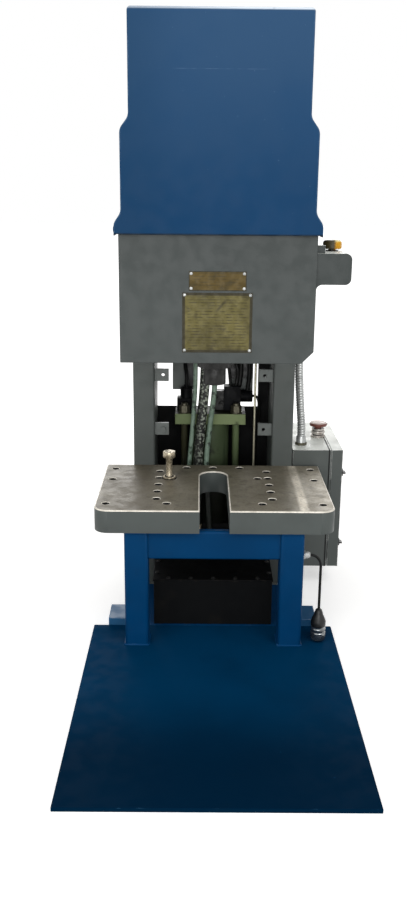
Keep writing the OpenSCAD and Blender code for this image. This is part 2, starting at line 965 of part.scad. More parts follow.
// Upper end plate of the booster, drilled for the four tie rods
module booster_end_plate() {
  color("#9fb59a")
    difference() {
      block([booster_x - end_plate_w / 2, booster_x + end_plate_w / 2], end_plate_y,
        [booster_z, end_top]);
      for (x = rod_x) {
        translate([x, rod_front_y, booster_z - 1]) cylinder(r = rod_r + 0.5, h = end_plate_t + 2);
        translate([x, rod_back_y, booster_z - 1]) cylinder(r = rod_r + 0.5, h = end_plate_t - 9);
      }
    }
}

// Tie rods of the booster with washers and nuts on the front pair
module booster_tie_rods() {
  color("#8ea489")
    for (x = rod_x) {
      translate([x, rod_front_y, lid_top + base_h])
        cylinder(r = rod_r, h = end_top + nut_h + 11 - lid_top - base_h);
      translate([x, rod_back_y, lid_top + base_h])
        cylinder(r = rod_r, h = booster_z + end_plate_t - 12 - lid_top - base_h);
      translate([x, rod_front_y, end_top]) cylinder(r = nut_r + 2, h = 4);
      translate([x, rod_front_y, end_top + 3]) cylinder(r = nut_r, h = nut_h, $fn = 6);
    }
}

// Left valve: block with an upright coil
module left_valve() {
  x = booster_x - 89;
  color("#232526") {
    block([x - 35, x + 35], valve_y, [end_top, end_top + 46]);
    translate([x, (valve_y[0] + valve_y[1]) / 2, end_top + 45]) {
      cylinder(r = 23, h = 38);
      cylinder(r = 10, h = 48);
    }
  }
}

// Right valve: tall block with a sideways coil
module right_valve() {
  x = booster_x + 51;
  color("#232526") {
    block([x, x + valve_w], valve_y, [end_top, end_top + valve_h]);
    translate([x + valve_w - 1, (valve_y[0] + valve_y[1]) / 2, end_top + coil_step])
      rotate([0, 90, 0]) cylinder(r = 23, h = 46);
  }
}

// Gray box hanging under the head behind the booster
module valve_box() {
  color("#5a6060")
    block([booster_x - valve_box_far, booster_x - valve_box_near],
      [valve_y[1] + valve_box_gap, column_back - 1], [head_z - valve_box_h, head_z]);
}

// Gray box for the leads of the right valve, under the head
module lead_box() {
  color("#5a6060")
    block([booster_x + lead_box_near, booster_x + lead_box_far],
      [valve_y[1] + valve_box_gap, column_back - 1], [head_z - lead_box_h, head_z]);
}

// Stations of the hose and of the oil lines between the head and the tank lid
hose_drop = head_z - lid_top;
hose_path = [
  [-28, hose_y, head_z - 25],
  [-28, hose_y, head_z - 50],
  [-28, hose_y, head_z - 0.12 * hose_drop],
  [-34, hose_y, head_z - 0.28 * hose_drop],
  [-46, hose_y, head_z - 0.46 * hose_drop],
  [-55, hose_y, head_z - 0.62 * hose_drop],
  [-58, hose_y, head_z - 0.8 * hose_drop],
  [-58, hose_y, lid_top + 50],
  [-58, hose_y, lid_top + 25]
];
left_line_path = [
  [-65, hose_y, head_z - 10],
  [-65, hose_y, head_z - 20],
  [-65, hose_y, head_z - 0.12 * hose_drop],
  [-67, hose_y, head_z - 0.28 * hose_drop],
  [-76, hose_y, head_z - 0.46 * hose_drop],
  [-86, hose_y, head_z - 0.62 * hose_drop],
  [-98, hose_y, head_z - 0.8 * hose_drop],
  [-104, hose_y, lid_top + 40],
  [-104, hose_y, lid_top + 25],
  [-104, hose_y, lid_top + 10]
];
right_line_path = [
  [10, hose_y, head_z - 10],
  [10, hose_y, head_z - 25],
  [10, hose_y, head_z - 40],
  [9, hose_y, head_z - 0.12 * hose_drop],
  [2, hose_y, head_z - 0.28 * hose_drop],
  [-13, hose_y, head_z - 0.46 * hose_drop],
  [-23, hose_y, head_z - 0.62 * hose_drop],
  [-17, hose_y, head_z - 0.8 * hose_drop],
  [-10, hose_y, lid_top + 40],
  [-10, hose_y, lid_top + 25],
  [-10, hose_y, lid_top + 10]
];

// Large hose between the head and the tank
module pressure_hose() {
  color("#232526")
    run(smooth(hose_path, 4), hose_r, 14, [1, 0, 0]);
}

// End sleeve of a hose or line
module sleeve(r, h) {
  difference() {
    union() {
      cylinder(r = r + 4, h = 10, $fn = 6);
      cylinder(r = r + 2, h = h);
    }
    translate([0, 0, h / 2]) cylinder(r = r + 0.3, h = h);
  }
}

// Ends of the hose and of the oil lines, at the head and on the tank lid
module hose_fittings() {
  color("#7e8286") {
    translate([hose_path[0][0], hose_y, head_z]) rotate([180, 0, 0]) sleeve(hose_r, 50);
    translate([hose_path[len(hose_path) - 1][0], hose_y, lid_top]) sleeve(hose_r, 50);
    for (p = [left_line_path, right_line_path]) {
      translate([p[0][0], hose_y, head_z]) rotate([180, 0, 0]) sleeve(line_r, 20);
      translate([p[len(p) - 1][0], hose_y, lid_top]) sleeve(line_r, 20);
    }
  }
}

// Two green oil lines, one on each side of the hose
module oil_lines() {
  color("#7f9a7c")
    for (p = [left_line_path, right_line_path])
      run(smooth(p, 3), line_r, 10, [1, 0, 0]);
}

// Thin straight tube between the head and the tank lid
module return_tube() {
  color("#a39c88")
    translate([post_in - 58, booster_y - 80, lid_top])
      cylinder(r = 4, h = head_z - lid_top);
}

// Wire duct down the inner face of the right column
module wire_duct() {
  color("#2d2f31")
    block([post_in - duct_w, post_in], [column_back - duct_d, column_back], [table_under, head_z]);
}

// Gland of the foot switch cord on the outer face of the right leg
module cord_gland() {
  color("#a4a7a8")
    translate([half_frame, gland_y, gland_cord_z])
      rotate([0, 90, 0])
        difference() {
          union() {
            cylinder(r = 15, h = 8, $fn = 6);
            cylinder(r = 11, h = 17);
            translate([0, 0, 16]) cylinder(r1 = 11, r2 = cord_r + 2.5, h = gland_len - 16);
          }
          translate([0, 0, gland_len / 2]) cylinder(r = cord_r + 0.2, h = gland_len);
        }
}

// Centre line of the cord: out of the gland, down and into the connector
cord_path = concat(
  [[half_frame + gland_len / 2 + 1, gland_y, gland_cord_z]],
  [for (a = [0 : 9 : 90])
    [cord_x + cord_bend * sin(a), gland_y, gland_cord_z - cord_bend * (1 - cos(a))]],
  [[drop_x, gland_y, connector_z[1] - 10]]);

module pigtail_cord() {
  color("#1d1e1f") run(cord_path, cord_r, 12, [0, 1, 0]);
}

// Connector on the end of the cord, hanging above the floor plate
module cord_connector() {
  h = connector_z[1] - connector_z[0];
  color("#1d1e1f")
    translate([drop_x, gland_y, connector_z[0]])
      difference() {
        union() {
          cylinder(r = connector_r, h = 0.6 * h);
          translate([0, 0, 0.6 * h]) cylinder(r1 = connector_r, r2 = cord_r + 6, h = 0.4 * h);
        }
        translate([0, 0, h - 12]) cylinder(r = cord_r + 0.2, h = 20);
      }
}

sole_plate();
deck_plate();
left_front_leg();
right_front_leg();
front_apron();
left_side_rail();
right_side_rail();
foot_pads();
work_table();
stop_pin();
left_column();
right_column();
guard_lugs();
rear_panel();
head_floor_plate();
left_head_plate();
right_head_plate();
head_back_plate();
head_front_cover();
hood_seat();
hood();
cylinder_barrel();
cylinder_cap();
cylinder_gland();
cylinder_bolts();
piston();
ram_rod();
punch_holder();
control_arm();
start_ring();
start_button();
conduit();
conduit_fittings();
enclosure_box();
mounting_panel();
contactor();
enclosure_door();
hinge_pins();
upper_latch();
lower_latch();
stop_collar();
stop_button();
oil_tank();
tank_lid();
booster_base();
booster_barrel();
booster_end_plate();
booster_tie_rods();
left_valve();
right_valve();
valve_box();
lead_box();
pressure_hose();
hose_fittings();
oil_lines();
return_tube();
wire_duct();
cord_gland();
pigtail_cord();
cord_connector();
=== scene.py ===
"""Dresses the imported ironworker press: worn paint, bare steel, hoses, controls and studio light.

The CAD nodes are a fixed frame in metres, with X right, Y to the back and Z up.
"""

import logging
import math
from dataclasses import dataclass
from enum import Enum
from functools import cache
from typing import Callable, Iterable, Mapping, Sequence, Union

import bmesh
import bpy
from bmesh.types import BMEdge, BMesh, BMVert
from bpy.types import Material, Node, NodeSocket, Object, ShaderNodeTree
from mathutils import Matrix, Vector


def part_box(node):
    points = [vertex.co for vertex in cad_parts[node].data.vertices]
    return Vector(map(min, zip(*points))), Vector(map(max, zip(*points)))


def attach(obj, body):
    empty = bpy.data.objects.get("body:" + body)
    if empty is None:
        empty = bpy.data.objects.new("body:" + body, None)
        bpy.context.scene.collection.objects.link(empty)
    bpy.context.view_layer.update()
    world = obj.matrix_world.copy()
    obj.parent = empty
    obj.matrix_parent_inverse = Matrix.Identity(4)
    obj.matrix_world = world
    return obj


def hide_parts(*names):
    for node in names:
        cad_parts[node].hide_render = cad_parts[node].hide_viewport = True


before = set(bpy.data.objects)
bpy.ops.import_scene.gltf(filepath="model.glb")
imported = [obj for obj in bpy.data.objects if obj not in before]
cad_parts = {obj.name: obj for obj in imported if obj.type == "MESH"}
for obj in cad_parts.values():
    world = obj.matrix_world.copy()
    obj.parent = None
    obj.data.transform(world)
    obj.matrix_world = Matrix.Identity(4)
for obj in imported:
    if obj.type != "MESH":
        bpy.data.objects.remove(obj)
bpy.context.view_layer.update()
LOG = logging.getLogger("ironworker")

MM = 0.001
NEAR = 0.1 * MM
PHOTO_HEIGHT = 900
SENSOR_MM = 36.0
SHARP_ANGLE = math.radians(32)
SAME_ANGLE = math.radians(0.3)
FLAT_ANGLE = math.radians(0.5)
PANEL_SHARE = 0.06
MERGE_MM = 0.02
AXIS_MERGE_MM = 0.001
WASHER_MM = 1.5
HEAD_CHAMFER = 0.06
CURVE_STEPS = 24
PATH_SLACK = 1e-9
# Cosines of the turn to a rounded normal where edge wear starts and where it is full.
EDGE_START, EDGE_FULL = 0.985, 0.9
X, Y, Z = range(3)
MIX_FACTOR, MIX_UNDER, MIX_OVER, MIX_RESULT = 0, 6, 7, 2
# Near-black for painted shade, and white.
PAINTED_SHADE, WHITE = "#070706", "#ffffff"

Value = Union[NodeSocket, float, tuple]
Profile = Sequence[tuple[float, float]]
Point = Sequence[float]
Row = tuple[float, ...]


class Body(Enum):
    """The rigid bodies that pieces ride on."""

    FRAME = "frame"
    RAM = "ram"
    START = "start_cap"
    STOP = "stop_cap"
    DOOR = "door"
    LATCH_HIGH = "latch_high"
    LATCH_LOW = "latch_low"


class Facing(Enum):
    """Directions that small fasteners and turned pieces point in."""

    FRONT = (0.0, -1.0, 0.0)
    BACK = (0.0, 1.0, 0.0)
    RIGHT = (1.0, 0.0, 0.0)
    LEFT = (-1.0, 0.0, 0.0)
    UP = (0.0, 0.0, 1.0)


def linear(code: str) -> tuple[float, float, float, float]:
    """Turns an sRGB hex colour into linear RGBA.

    Args:
        code: colour as "#rrggbb".

    Returns:
        Linear red, green, blue and an alpha of 1.
    """
    channels = [int(code[i : i + 2], 16) / 255 for i in (1, 3, 5)]
    red, green, blue = (
        c / 12.92 if c <= 0.04045 else ((c + 0.055) / 1.055) ** 2.4 for c in channels
    )
    return (red, green, blue, 1.0)


def add_node(
    tree: ShaderNodeTree,
    kind: str,
    inputs: Mapping[Union[str, int], Value] = {},
    **settings: object,
) -> Node:
    """Adds a shader node with its settings, constants and links.

    Args:
        tree: node tree that takes the node.
        kind: Blender's name of the node type.
        inputs: a socket to link or a constant to set, by input name or number.
        settings: properties of the node itself.

    Returns:
        The new node.
    """
    node = tree.nodes.new(kind)
    for name, value in settings.items():
        setattr(node, name, value)
    for key, value in inputs.items():
        if isinstance(value, NodeSocket):
            tree.links.new(value, node.inputs[key])
        else:
            node.inputs[key].default_value = value
    return node


@dataclass(frozen=True)
class Grade:
    """A colour that deepens along one axis, from a start to where it is full, in metres; by default
    a near-black painted shade.
    """

    axis: int
    start: float
    full: float
    colour: str = PAINTED_SHADE
    cover: float = 0.94


class Surface:
    """A material under construction: colours laid on by masks sized in millimetres."""

    def __init__(self, name: str, colour: str, specular: float = 0.5) -> None:
        """Starts a plain Principled material.

        Args:
            name: the material's name.
            colour: its undermost colour.
            specular: strength of its clear reflections, 0.5 for a clean surface.
        """
        self.material = bpy.data.materials.new(name)
        self.material.use_nodes = True
        self.tree = self.material.node_tree
        self.shader = self.tree.nodes["Principled BSDF"]
        self.shader.inputs["Specular IOR Level"].default_value = specular
        self.coords = add_node(self.tree, "ShaderNodeTexCoord").outputs["Object"]
        self.tone: Value = linear(colour)

    def patches(
        self,
        size_mm: float,
        low: float,
        high: float,
        cover: float = 1.0,
        stretch: tuple[float, float, float] = (1.0, 1.0, 1.0),
        detail: float = 5.0,
    ) -> NodeSocket:
        """Makes a patchy mask.

        Args:
            size_mm: typical patch size.
            low: noise level where the mask starts.
            high: noise level where the mask is full.
            cover: value of the full mask.
            stretch: frequency along each axis, so 0.1 draws a patch out ten times.
            detail: octaves of finer noise.

        Returns:
            A socket with values from 0 to cover.
        """
        mapped = add_node(
            self.tree, "ShaderNodeMapping", {"Vector": self.coords, "Scale": stretch}
        )
        noise = add_node(
            self.tree,
            "ShaderNodeTexNoise",
            {"Vector": mapped.outputs[0], "Scale": 1 / (size_mm * MM), "Detail": detail},
        )
        return self.ramp(noise.outputs[0], low, high, 0.0, cover)

    def ramp(
        self, value: NodeSocket, low: float, high: float, start: float = 0.0, end: float = 1.0
    ) -> NodeSocket:
        """Carries a value smoothly from start at low to end at high.

        Args:
            value: socket to read.
            low: value that gives start.
            high: value that gives end.
            start: result at and below low.
            end: result at and above high.

        Returns:
            A socket with the result.
        """
        return add_node(
            self.tree,
            "ShaderNodeMapRange",
            {"Value": value, "From Min": low, "From Max": high, "To Min": start, "To Max": end},
            interpolation_type="SMOOTHSTEP",
        ).outputs[0]

    def both(self, first: Value, second: Value) -> NodeSocket:
        """Multiplies two masks, so the result is full only where both are."""
        return add_node(
            self.tree, "ShaderNodeMath", {0: first, 1: second}, operation="MULTIPLY"
        ).outputs[0]

    def coat(self, under: Value, cover: Value, over: Value) -> NodeSocket:
        """Mixes one colour over another where the cover mask is up."""
        inputs = {MIX_FACTOR: cover, MIX_UNDER: under, MIX_OVER: over}
        return add_node(self.tree, "ShaderNodeMix", inputs, data_type="RGBA").outputs[MIX_RESULT]

    def lay(self, cover: Value, colour: str) -> None:
        """Lays a colour on the tone so far where the cover mask is up."""
        self.tone = self.coat(self.tone, cover, linear(colour))

    def grade(self, grade: Grade) -> None:
        """Lays on a colour that deepens along one axis."""
        along = self.axis(grade.axis)
        self.lay(self.ramp(along, grade.start, grade.full, 0.0, grade.cover), grade.colour)

    def edges(self, radius_mm: float, grit_mm: float, low: float, high: float) -> NodeSocket:
        """Makes a ragged mask along the piece's edges.

        Args:
            radius_mm: how far from an edge the mask may reach.
            grit_mm: size of the bites out of the mask.
            low: noise level where a bite starts.
            high: noise level where the mask is full.

        Returns:
            A socket from 0 on the faces to 1 along worn edges.
        """
        rounded = add_node(self.tree, "ShaderNodeBevel", {"Radius": radius_mm * MM}, samples=6)
        flat = add_node(self.tree, "ShaderNodeNewGeometry").outputs["True Normal"]
        normals = {0: rounded.outputs[0], 1: flat}
        turn = add_node(self.tree, "ShaderNodeVectorMath", normals, operation="DOT_PRODUCT")
        near = self.ramp(turn.outputs["Value"], EDGE_START, EDGE_FULL)
        return self.both(near, self.patches(grit_mm, low, high, detail=6.0))

    def axis(self, index: int) -> NodeSocket:
        """Gives the object coordinate along X, Y or Z as a value."""
        return add_node(self.tree, "ShaderNodeSeparateXYZ", {0: self.coords}).outputs[index]

    def facing_up(self, low: float, high: float) -> NodeSocket:
        """Makes a mask of the faces that look upward."""
        normal = add_node(self.tree, "ShaderNodeNewGeometry").outputs["Normal"]
        up = add_node(self.tree, "ShaderNodeSeparateXYZ", {0: normal}).outputs[Z]
        return self.ramp(up, low, high)

    def band(self, value: NodeSocket, low: float, high: float, soft: float) -> NodeSocket:
        """Makes a mask that is full where a value lies between low and high."""
        rise = self.ramp(value, low - soft, low + soft)
        return self.both(rise, self.ramp(value, high + soft, high - soft))

    def uneven(self, size_mm: float, least: float, most: float, high: float = 0.7) -> NodeSocket:
        """Makes a patchy roughness between a least and a most value."""
        return self.ramp(self.patches(size_mm, 0.3, high), 0.0, 1.0, least, most)

    def bump(self, height: NodeSocket, depth_mm: float, strength: float) -> None:
        """Raises the surface by a height pattern of that depth."""
        inputs = {"Height": height, "Distance": depth_mm * MM, "Strength": strength}
        node = add_node(self.tree, "ShaderNodeBump", inputs)
        self.tree.links.new(node.outputs[0], self.shader.inputs["Normal"])

    def finish(self, roughness: Value, metallic: Value = 0.0) -> Material:
        """Joins the tone, roughness and metal to the shader.

        Args:
            roughness: a socket or a number.
            metallic: a socket or a number.

        Returns:
            The finished material.
        """
        ends = {"Base Color": self.tone, "Roughness": roughness, "Metallic": metallic}
        for name, value in ends.items():
            if isinstance(value, NodeSocket):
                self.tree.links.new(value, self.shader.inputs[name])
            else:
                self.shader.inputs[name].default_value = value
        return self.material


@dataclass(frozen=True)
class Enamel:
    """Sprayed machine enamel on steel: satin and orange-peeled, its edges lined partly as rubbed
    paint and partly as painted highlight, with an optional colour on upward faces.
    """

    name: str
    colour: str
    shade: str
    grime: str = "#1d1c19"
    edge_wear_and_highlight: str = "#8b877e"
    roughness: float = 0.42
    specular: float = 0.3
    grime_cover: float = 0.16
    edge_wear_and_highlight_low: float = 0.56
    edge_wear_and_highlight_radius_mm: float = 2.5
    runs: float = 0.2
    top_face_colour: str = ""
    under: tuple[Grade, ...] = ()
    over: tuple[Grade, ...] = ()

    def build(self) -> Material:
        """Makes the material."""
        s = Surface(self.name, self.colour, self.specular)
        s.lay(s.patches(260, 0.38, 0.68, 0.7), self.shade)
        # Grades under the streaks: on the deck, a darker front that is painted reflection.
        for grade in self.under:
            s.grade(grade)
        streaks = s.patches(30, 0.55, 0.75, self.runs, (1.0, 1.0, 0.08))
        s.lay(streaks, self.shade)
        dirt = s.patches(60, 0.56, 0.8, self.grime_cover, detail=8.0)
        s.lay(dirt, self.grime)
        nicks = s.patches(14, 0.73, 0.76, 0.7, detail=3.0)
        s.lay(nicks, self.shade)
        # Lines along the edges: rubbed paint, and on the enclosure, stand legs and tank a painted
        # highlight.
        worn = s.edges(self.edge_wear_and_highlight_radius_mm, 26, self.edge_wear_and_highlight_low, self.edge_wear_and_highlight_low + 0.16)
        s.lay(worn, self.edge_wear_and_highlight)
        # Upward faces take one more colour: painted top light on the enclosure and arm, a darker
        # top on the green enamel.
        if self.top_face_colour:
            dust = s.both(s.facing_up(0.8, 0.95), s.patches(50, 0.0, 0.45, 0.97))
            s.lay(dust, self.top_face_colour)
        # Grades over the rest: painted shade upward on the head and toward the bottom on the barrel
        # and rods, and a brown smear on the rods.
        for grade in self.over:
            s.grade(grade)
        # Orange peel is about 1 mm across and is drawn coarser, so that it shows.
        s.bump(s.patches(2.4, 0.2, 0.8, detail=2.0), 0.08, 0.35)
        return s.finish(s.uneven(45, self.roughness - 0.06, self.roughness + 0.12, 0.75))


@dataclass(frozen=True)
class HoodEnamel:
    """Satin blue enamel over sheet steel with a faint rub across its front, paler upward and darker
    to the left as painted light and shade, with painted highlight along its edges and top fold and
    a painted shadow line at its foot.
    """

    name: str = "hood_blue_enamel"
    # Foot colour; the rise grade pales it upward as painted light from above.
    low: str = "#0b385d"
    shade: str = "#143f66"
    rub: str = "#6f8aa5"
    # Colours of the painted highlight along the edges and on the top fold.
    edge: str = "#7f9db9"
    fold: str = "#d7e2ec"
    crown: float = 1.92
    rub_height: float = 1.764
    rub_half: float = 0.0008
    rub_span: tuple[float, float] = (-0.157, 0.125)
    rise: Grade = Grade(Z, 1.31, 1.92, "#2d4c6d", 1.0)
    # Painted shade toward the left, and a painted shadow line along the foot.
    left: Grade = Grade(X, -0.08, -0.28, "#0e3453", 0.4)
    seam: Grade = Grade(Z, 1.3255, 1.321, "#06192b", 0.9)

    def build(self) -> Material:
        """Makes the material."""
        s = Surface(self.name, self.low, 0.07)
        # Paler upward: painted light from above.
        s.grade(self.rise)
        s.lay(s.patches(300, 0.42, 0.7, 0.3), self.shade)
        # Darker to the left: painted shade.
        s.grade(self.left)
        specks = s.patches(9, 0.74, 0.77, 0.35, detail=3.0)
        s.lay(specks, self.rub)
        half = self.rub_half
        line = s.band(s.axis(Z), self.rub_height - half, self.rub_height + half, half)
        span = s.band(s.axis(X), *self.rub_span, 0.03)
        broken = s.both(s.patches(30, 0.35, 0.65, 0.32), s.ramp(s.axis(Y), -0.3, -0.33))
        s.lay(s.both(s.both(line, span), broken), self.rub)
        # Pale edge lines: painted highlight.
        s.lay(s.both(s.edges(5.0, 40, 0.4, 0.56), 0.7), self.edge)
        # Dark line along the foot: painted shadow.
        s.grade(self.seam)
        # Pale top fold, brighter to the right: painted highlight.
        fold = s.ramp(s.axis(Z), self.crown - 0.008, self.crown - 0.003)
        fold = s.both(fold, s.ramp(s.axis(X), -0.27, 0.12, 0.45, 1.0))
        fold = s.both(fold, s.both(s.patches(40, 0.1, 0.4), s.facing_up(0.98, 0.9)))
        s.lay(fold, self.fold)
        s.bump(s.patches(3.0, 0.2, 0.8, detail=2.0), 0.1, 0.4)
        return s.finish(s.uneven(60, 0.36, 0.48, 0.75))


@dataclass(frozen=True)
class TableSteel:
    """Ground steel plate gone brown with oil, its sides painted gray, paler from a band toward its
    right end, partly as rubbed steel and partly as painted sheen.
    """

    name: str = "ground_table_steel"
    stain: str = "#7a7464"
    dark: str = "#696354"
    ground: str = "#7d7768"
    left: str = "#585041"
    rubbed: str = "#ddd4c3"
    spots: str = "#4a4438"
    rust: str = "#4f4537"
    scratch: str = "#b5ae9f"
    paint: str = "#4e5452"
    paint_shade: str = "#474c4a"
    left_span: tuple[float, float] = (-0.17, -0.26)
    strip_span: tuple[float, float] = (0.270, 0.297)
    end_span: tuple[float, float] = (0.32, 0.37)
    # Paler toward the right end: partly rubbed steel, partly painted sheen.
    rise: Grade = Grade(X, 0.236, 0.270, "#a59d8d", 0.45)

    def build(self) -> Material:
        """Makes the material."""
        s = Surface(self.name, self.stain, 0.3)
        top, x = s.facing_up(0.6, 0.9), s.axis(X)
        s.lay(s.patches(110, 0.35, 0.65), self.dark)
        # Grinding lines are far finer than 5 mm and are drawn wider, so that they show.
        s.lay(s.patches(5, 0.3, 0.7, 0.4, (0.05, 1.0, 1.0)), self.ground)
        s.lay(s.both(s.ramp(x, *self.left_span), s.patches(150, 0.2, 0.6, 0.7)), self.left)
        # The paler band, bright strip and paler end: partly rubbed steel, partly painted sheen.
        s.grade(self.rise)
        strip = s.band(x, *self.strip_span, 0.006)
        strip = s.both(strip, s.patches(60, 0.25, 0.55, 0.9, (1.0, 0.3, 1.0)))
        s.lay(strip, self.rubbed)
        s.lay(s.both(s.ramp(x, *self.end_span), s.patches(70, 0.2, 0.6, 0.28)), self.rubbed)
        s.lay(s.patches(26, 0.52, 0.72, 0.5, detail=9.0), self.spots)
        s.lay(s.patches(7, 0.5, 0.68, 0.4, detail=9.0), self.rust)
        s.lay(s.patches(3.2, 0.66, 0.74, 0.6, (0.04, 1.0, 1.0)), self.scratch)
        shade = s.patches(120, 0.4, 0.7, 0.6)
        paint = s.coat(linear(self.paint), shade, linear(self.paint_shade))
        s.tone = s.coat(paint, top, s.tone)
        s.bump(s.patches(2.0, 0.3, 0.7, 1.0, (0.1, 1.0, 1.0)), 0.06, 0.4)
        return s.finish(s.uneven(40, 0.42, 0.54), s.both(top, 0.28))


@dataclass(frozen=True)
class Metal:
    """Bare metal: turned, galvanised or blackened steel with stains and small dents."""

    name: str
    colour: str
    stain: str
    roughness: float = 0.38
    metallic: float = 0.9
    stain_cover: float = 0.5
    stain_mm: float = 25.0

    def build(self) -> Material:
        """Makes the material."""
        s = Surface(self.name, self.colour)
        s.lay(s.patches(self.stain_mm, 0.45, 0.68, self.stain_cover, detail=7.0), self.stain)
        s.lay(s.patches(self.stain_mm / 6, 0.55, 0.75, 0.4), self.stain)
        s.bump(s.patches(1.8, 0.3, 0.7, detail=3.0), 0.05, 0.3)
        rough = s.uneven(self.stain_mm / 2, self.roughness - 0.08, self.roughness + 0.14)
        return s.finish(rough, self.metallic)


@dataclass(frozen=True)
class Moulding:
    """Moulded plastic or rubber: fine grained, with dust or flaking overspray, a paler top that is
    fading on the red cap and painted highlight on the yellow one, and grades along an axis.
    """

    name: str
    colour: str
    faded: str
    roughness: float = 0.5
    specular: float = 0.4
    grain_mm: float = 1.5
    dust: str = "#57534b"
    dust_mm: float = 12.0
    dust_low: float = 0.55
    dust_high: float = 0.8
    dust_cover: float = 0.15
    dust_side: tuple[float, float] = (-9.0, -8.0)
    bleach_and_highlight: str = ""
    over: tuple[Grade, ...] = ()

    def build(self) -> Material:
        """Makes the material."""
        s = Surface(self.name, self.colour, self.specular)
        s.lay(s.patches(35, 0.4, 0.7), self.faded)
        # A paler top: fading on the red cap, painted highlight on the yellow one.
        if self.bleach_and_highlight:
            s.lay(s.facing_up(0.35, 0.75), self.bleach_and_highlight)
        dust = s.patches(self.dust_mm, self.dust_low, self.dust_high, self.dust_cover)
        s.lay(s.both(dust, s.ramp(s.axis(X), *self.dust_side, 0.25, 1.0)), self.dust)
        # Grades: painted shade toward the bottom on the hose and lines, and on the yellow cap's
        # side toward the head.
        for grade in self.over:
            s.grade(grade)
        # Moulding grain is a few tenths of a millimetre and is drawn coarser, so that it shows.
        s.bump(s.patches(self.grain_mm, 0.3, 0.7, detail=2.0), 0.05, 0.35)
        return s.finish(s.uneven(20, self.roughness - 0.08, self.roughness + 0.1))


@dataclass(frozen=True)
class OldBrass:
    """Thin brass sheet under yellowed lacquer, ruled in faint rows, grimy at its rim."""

    name: str
    colour: str
    bright: str
    half_mm: float
    low_mm: float
    high_mm: float
    border_mm: float
    grime: str = "#2b2716"
    rule_mm: float = 8.5
    rules: float = 0.5
    smear_mm: float = 0.0
    smear_at: tuple[float, float, float] = (0.012, 0.0, 1.118)
    smear_deg: float = 48.0

    def build(self) -> Material:
        """Makes the material."""
        s = Surface(self.name, self.colour, 0.25)
        x, z = s.axis(X), s.axis(Z)
        s.lay(s.patches(70, 0.35, 0.7), self.bright)
        pitch = math.tau / (20 * self.rule_mm * MM)
        waves = {"Vector": s.coords, "Scale": pitch, "Distortion": 0.3}
        lines = add_node(s.tree, "ShaderNodeTexWave", waves, bands_direction="Z")
        broken = s.patches(26, 0.38, 0.62, self.rules, (1.0, 1.0, 2.5))
        ruled = s.both(s.ramp(lines.outputs["Fac"], 0.55, 0.9), broken)
        inner = (self.half_mm - self.border_mm - 8) * MM
        s.lay(s.both(ruled, s.band(x, -inner, inner, 0.004)), self.grime)
        s.lay(s.patches(40, 0.5, 0.72, 0.65, detail=9.0), self.grime)
        if self.smear_mm:
            self.smear(s)
        edge, half = self.border_mm * MM, self.half_mm * MM
        across = s.band(x, edge - half, half - edge, 0.0012)
        rise = s.band(z, self.low_mm * MM + edge, self.high_mm * MM - edge, 0.0012)
        s.tone = s.coat(linear(self.grime), s.both(across, rise), s.tone)
        s.bump(s.patches(4.0, 0.3, 0.7), 0.08, 0.3)
        return s.finish(s.uneven(18, 0.38, 0.56), 0.25)

    def smear(self, s: Surface) -> None:
        """Lays one slanting smear of grime on the sheet.

        Args:
            s: the material that takes it.
        """
        shift = {"Vector": s.coords, "Location": tuple(-c for c in self.smear_at)}
        moved = add_node(s.tree, "ShaderNodeMapping", shift).outputs[0]
        turn = {"Vector": moved, "Angle": math.radians(self.smear_deg)}
        slant = add_node(s.tree, "ShaderNodeVectorRotate", turn, rotation_type="Y_AXIS")
        split = add_node(s.tree, "ShaderNodeSeparateXYZ", {0: slant.outputs[0]}).outputs
        half = self.smear_mm * MM / 2
        mark = s.both(s.band(split[X], -half, half, 0.014), s.band(split[Z], -0.003, 0.003, 0.004))
        s.lay(s.both(mark, 0.8), self.grime)


Finish = Union[Enamel, HoodEnamel, TableSteel, Metal, Moulding, OldBrass]

# Sprayed enamels: a soft sheen, and pale lines along their edges, partly rubbed paint and partly
# painted highlight.
GRAY = Enamel("gray_machine_enamel", "#555a58", "#4f5452", edge_wear_and_highlight="#777874", specular=0.2)
# The head's gray is darker than the columns' and deepens upward toward the hood as painted shade.
HEAD_GRAY = Enamel(
    "gray_head_enamel", "#454a49", "#404544", edge_wear_and_highlight="#70716d", specular=0.2,
    over=(Grade(Z, 1.0, 2.08),),
)
# The enclosure's pale edge lines are painted highlight, and its near-white top is painted top
# light.
BOX_GRAY = Enamel(
    "gray_enclosure_enamel", "#555a58", "#4f5452", edge_wear_and_highlight="#c3c6c3", specular=0.25,
    edge_wear_and_highlight_low=0.4, edge_wear_and_highlight_radius_mm=4.0, grime_cover=0.08, top_face_colour="#f0f3ec",
)
# The arm's near-white top is painted top light.
ARM_GRAY = Enamel(
    "gray_arm_enamel", "#3b403f", "#363b3a", edge_wear_and_highlight="#8b8e8c", specular=0.2,
    edge_wear_and_highlight_low=0.46, grime_cover=0.08, top_face_colour="#f0f3ec",
)
# A lighter copy of the gray enamel, painted light for the lugs, boxes and bolt that sit in shade.
LUG_GRAY = Enamel(
    "gray_lug_enamel", "#6f7472", "#636866", edge_wear_and_highlight="#8f908c", specular=0.2, grime_cover=0.3
)
# The legs' pale edge lines are painted highlight.
STAND_BLUE = Enamel(
    "stand_blue_enamel", "#023c68", "#02355d", edge_wear_and_highlight="#3f6081", specular=0.06, edge_wear_and_highlight_low=0.5
)
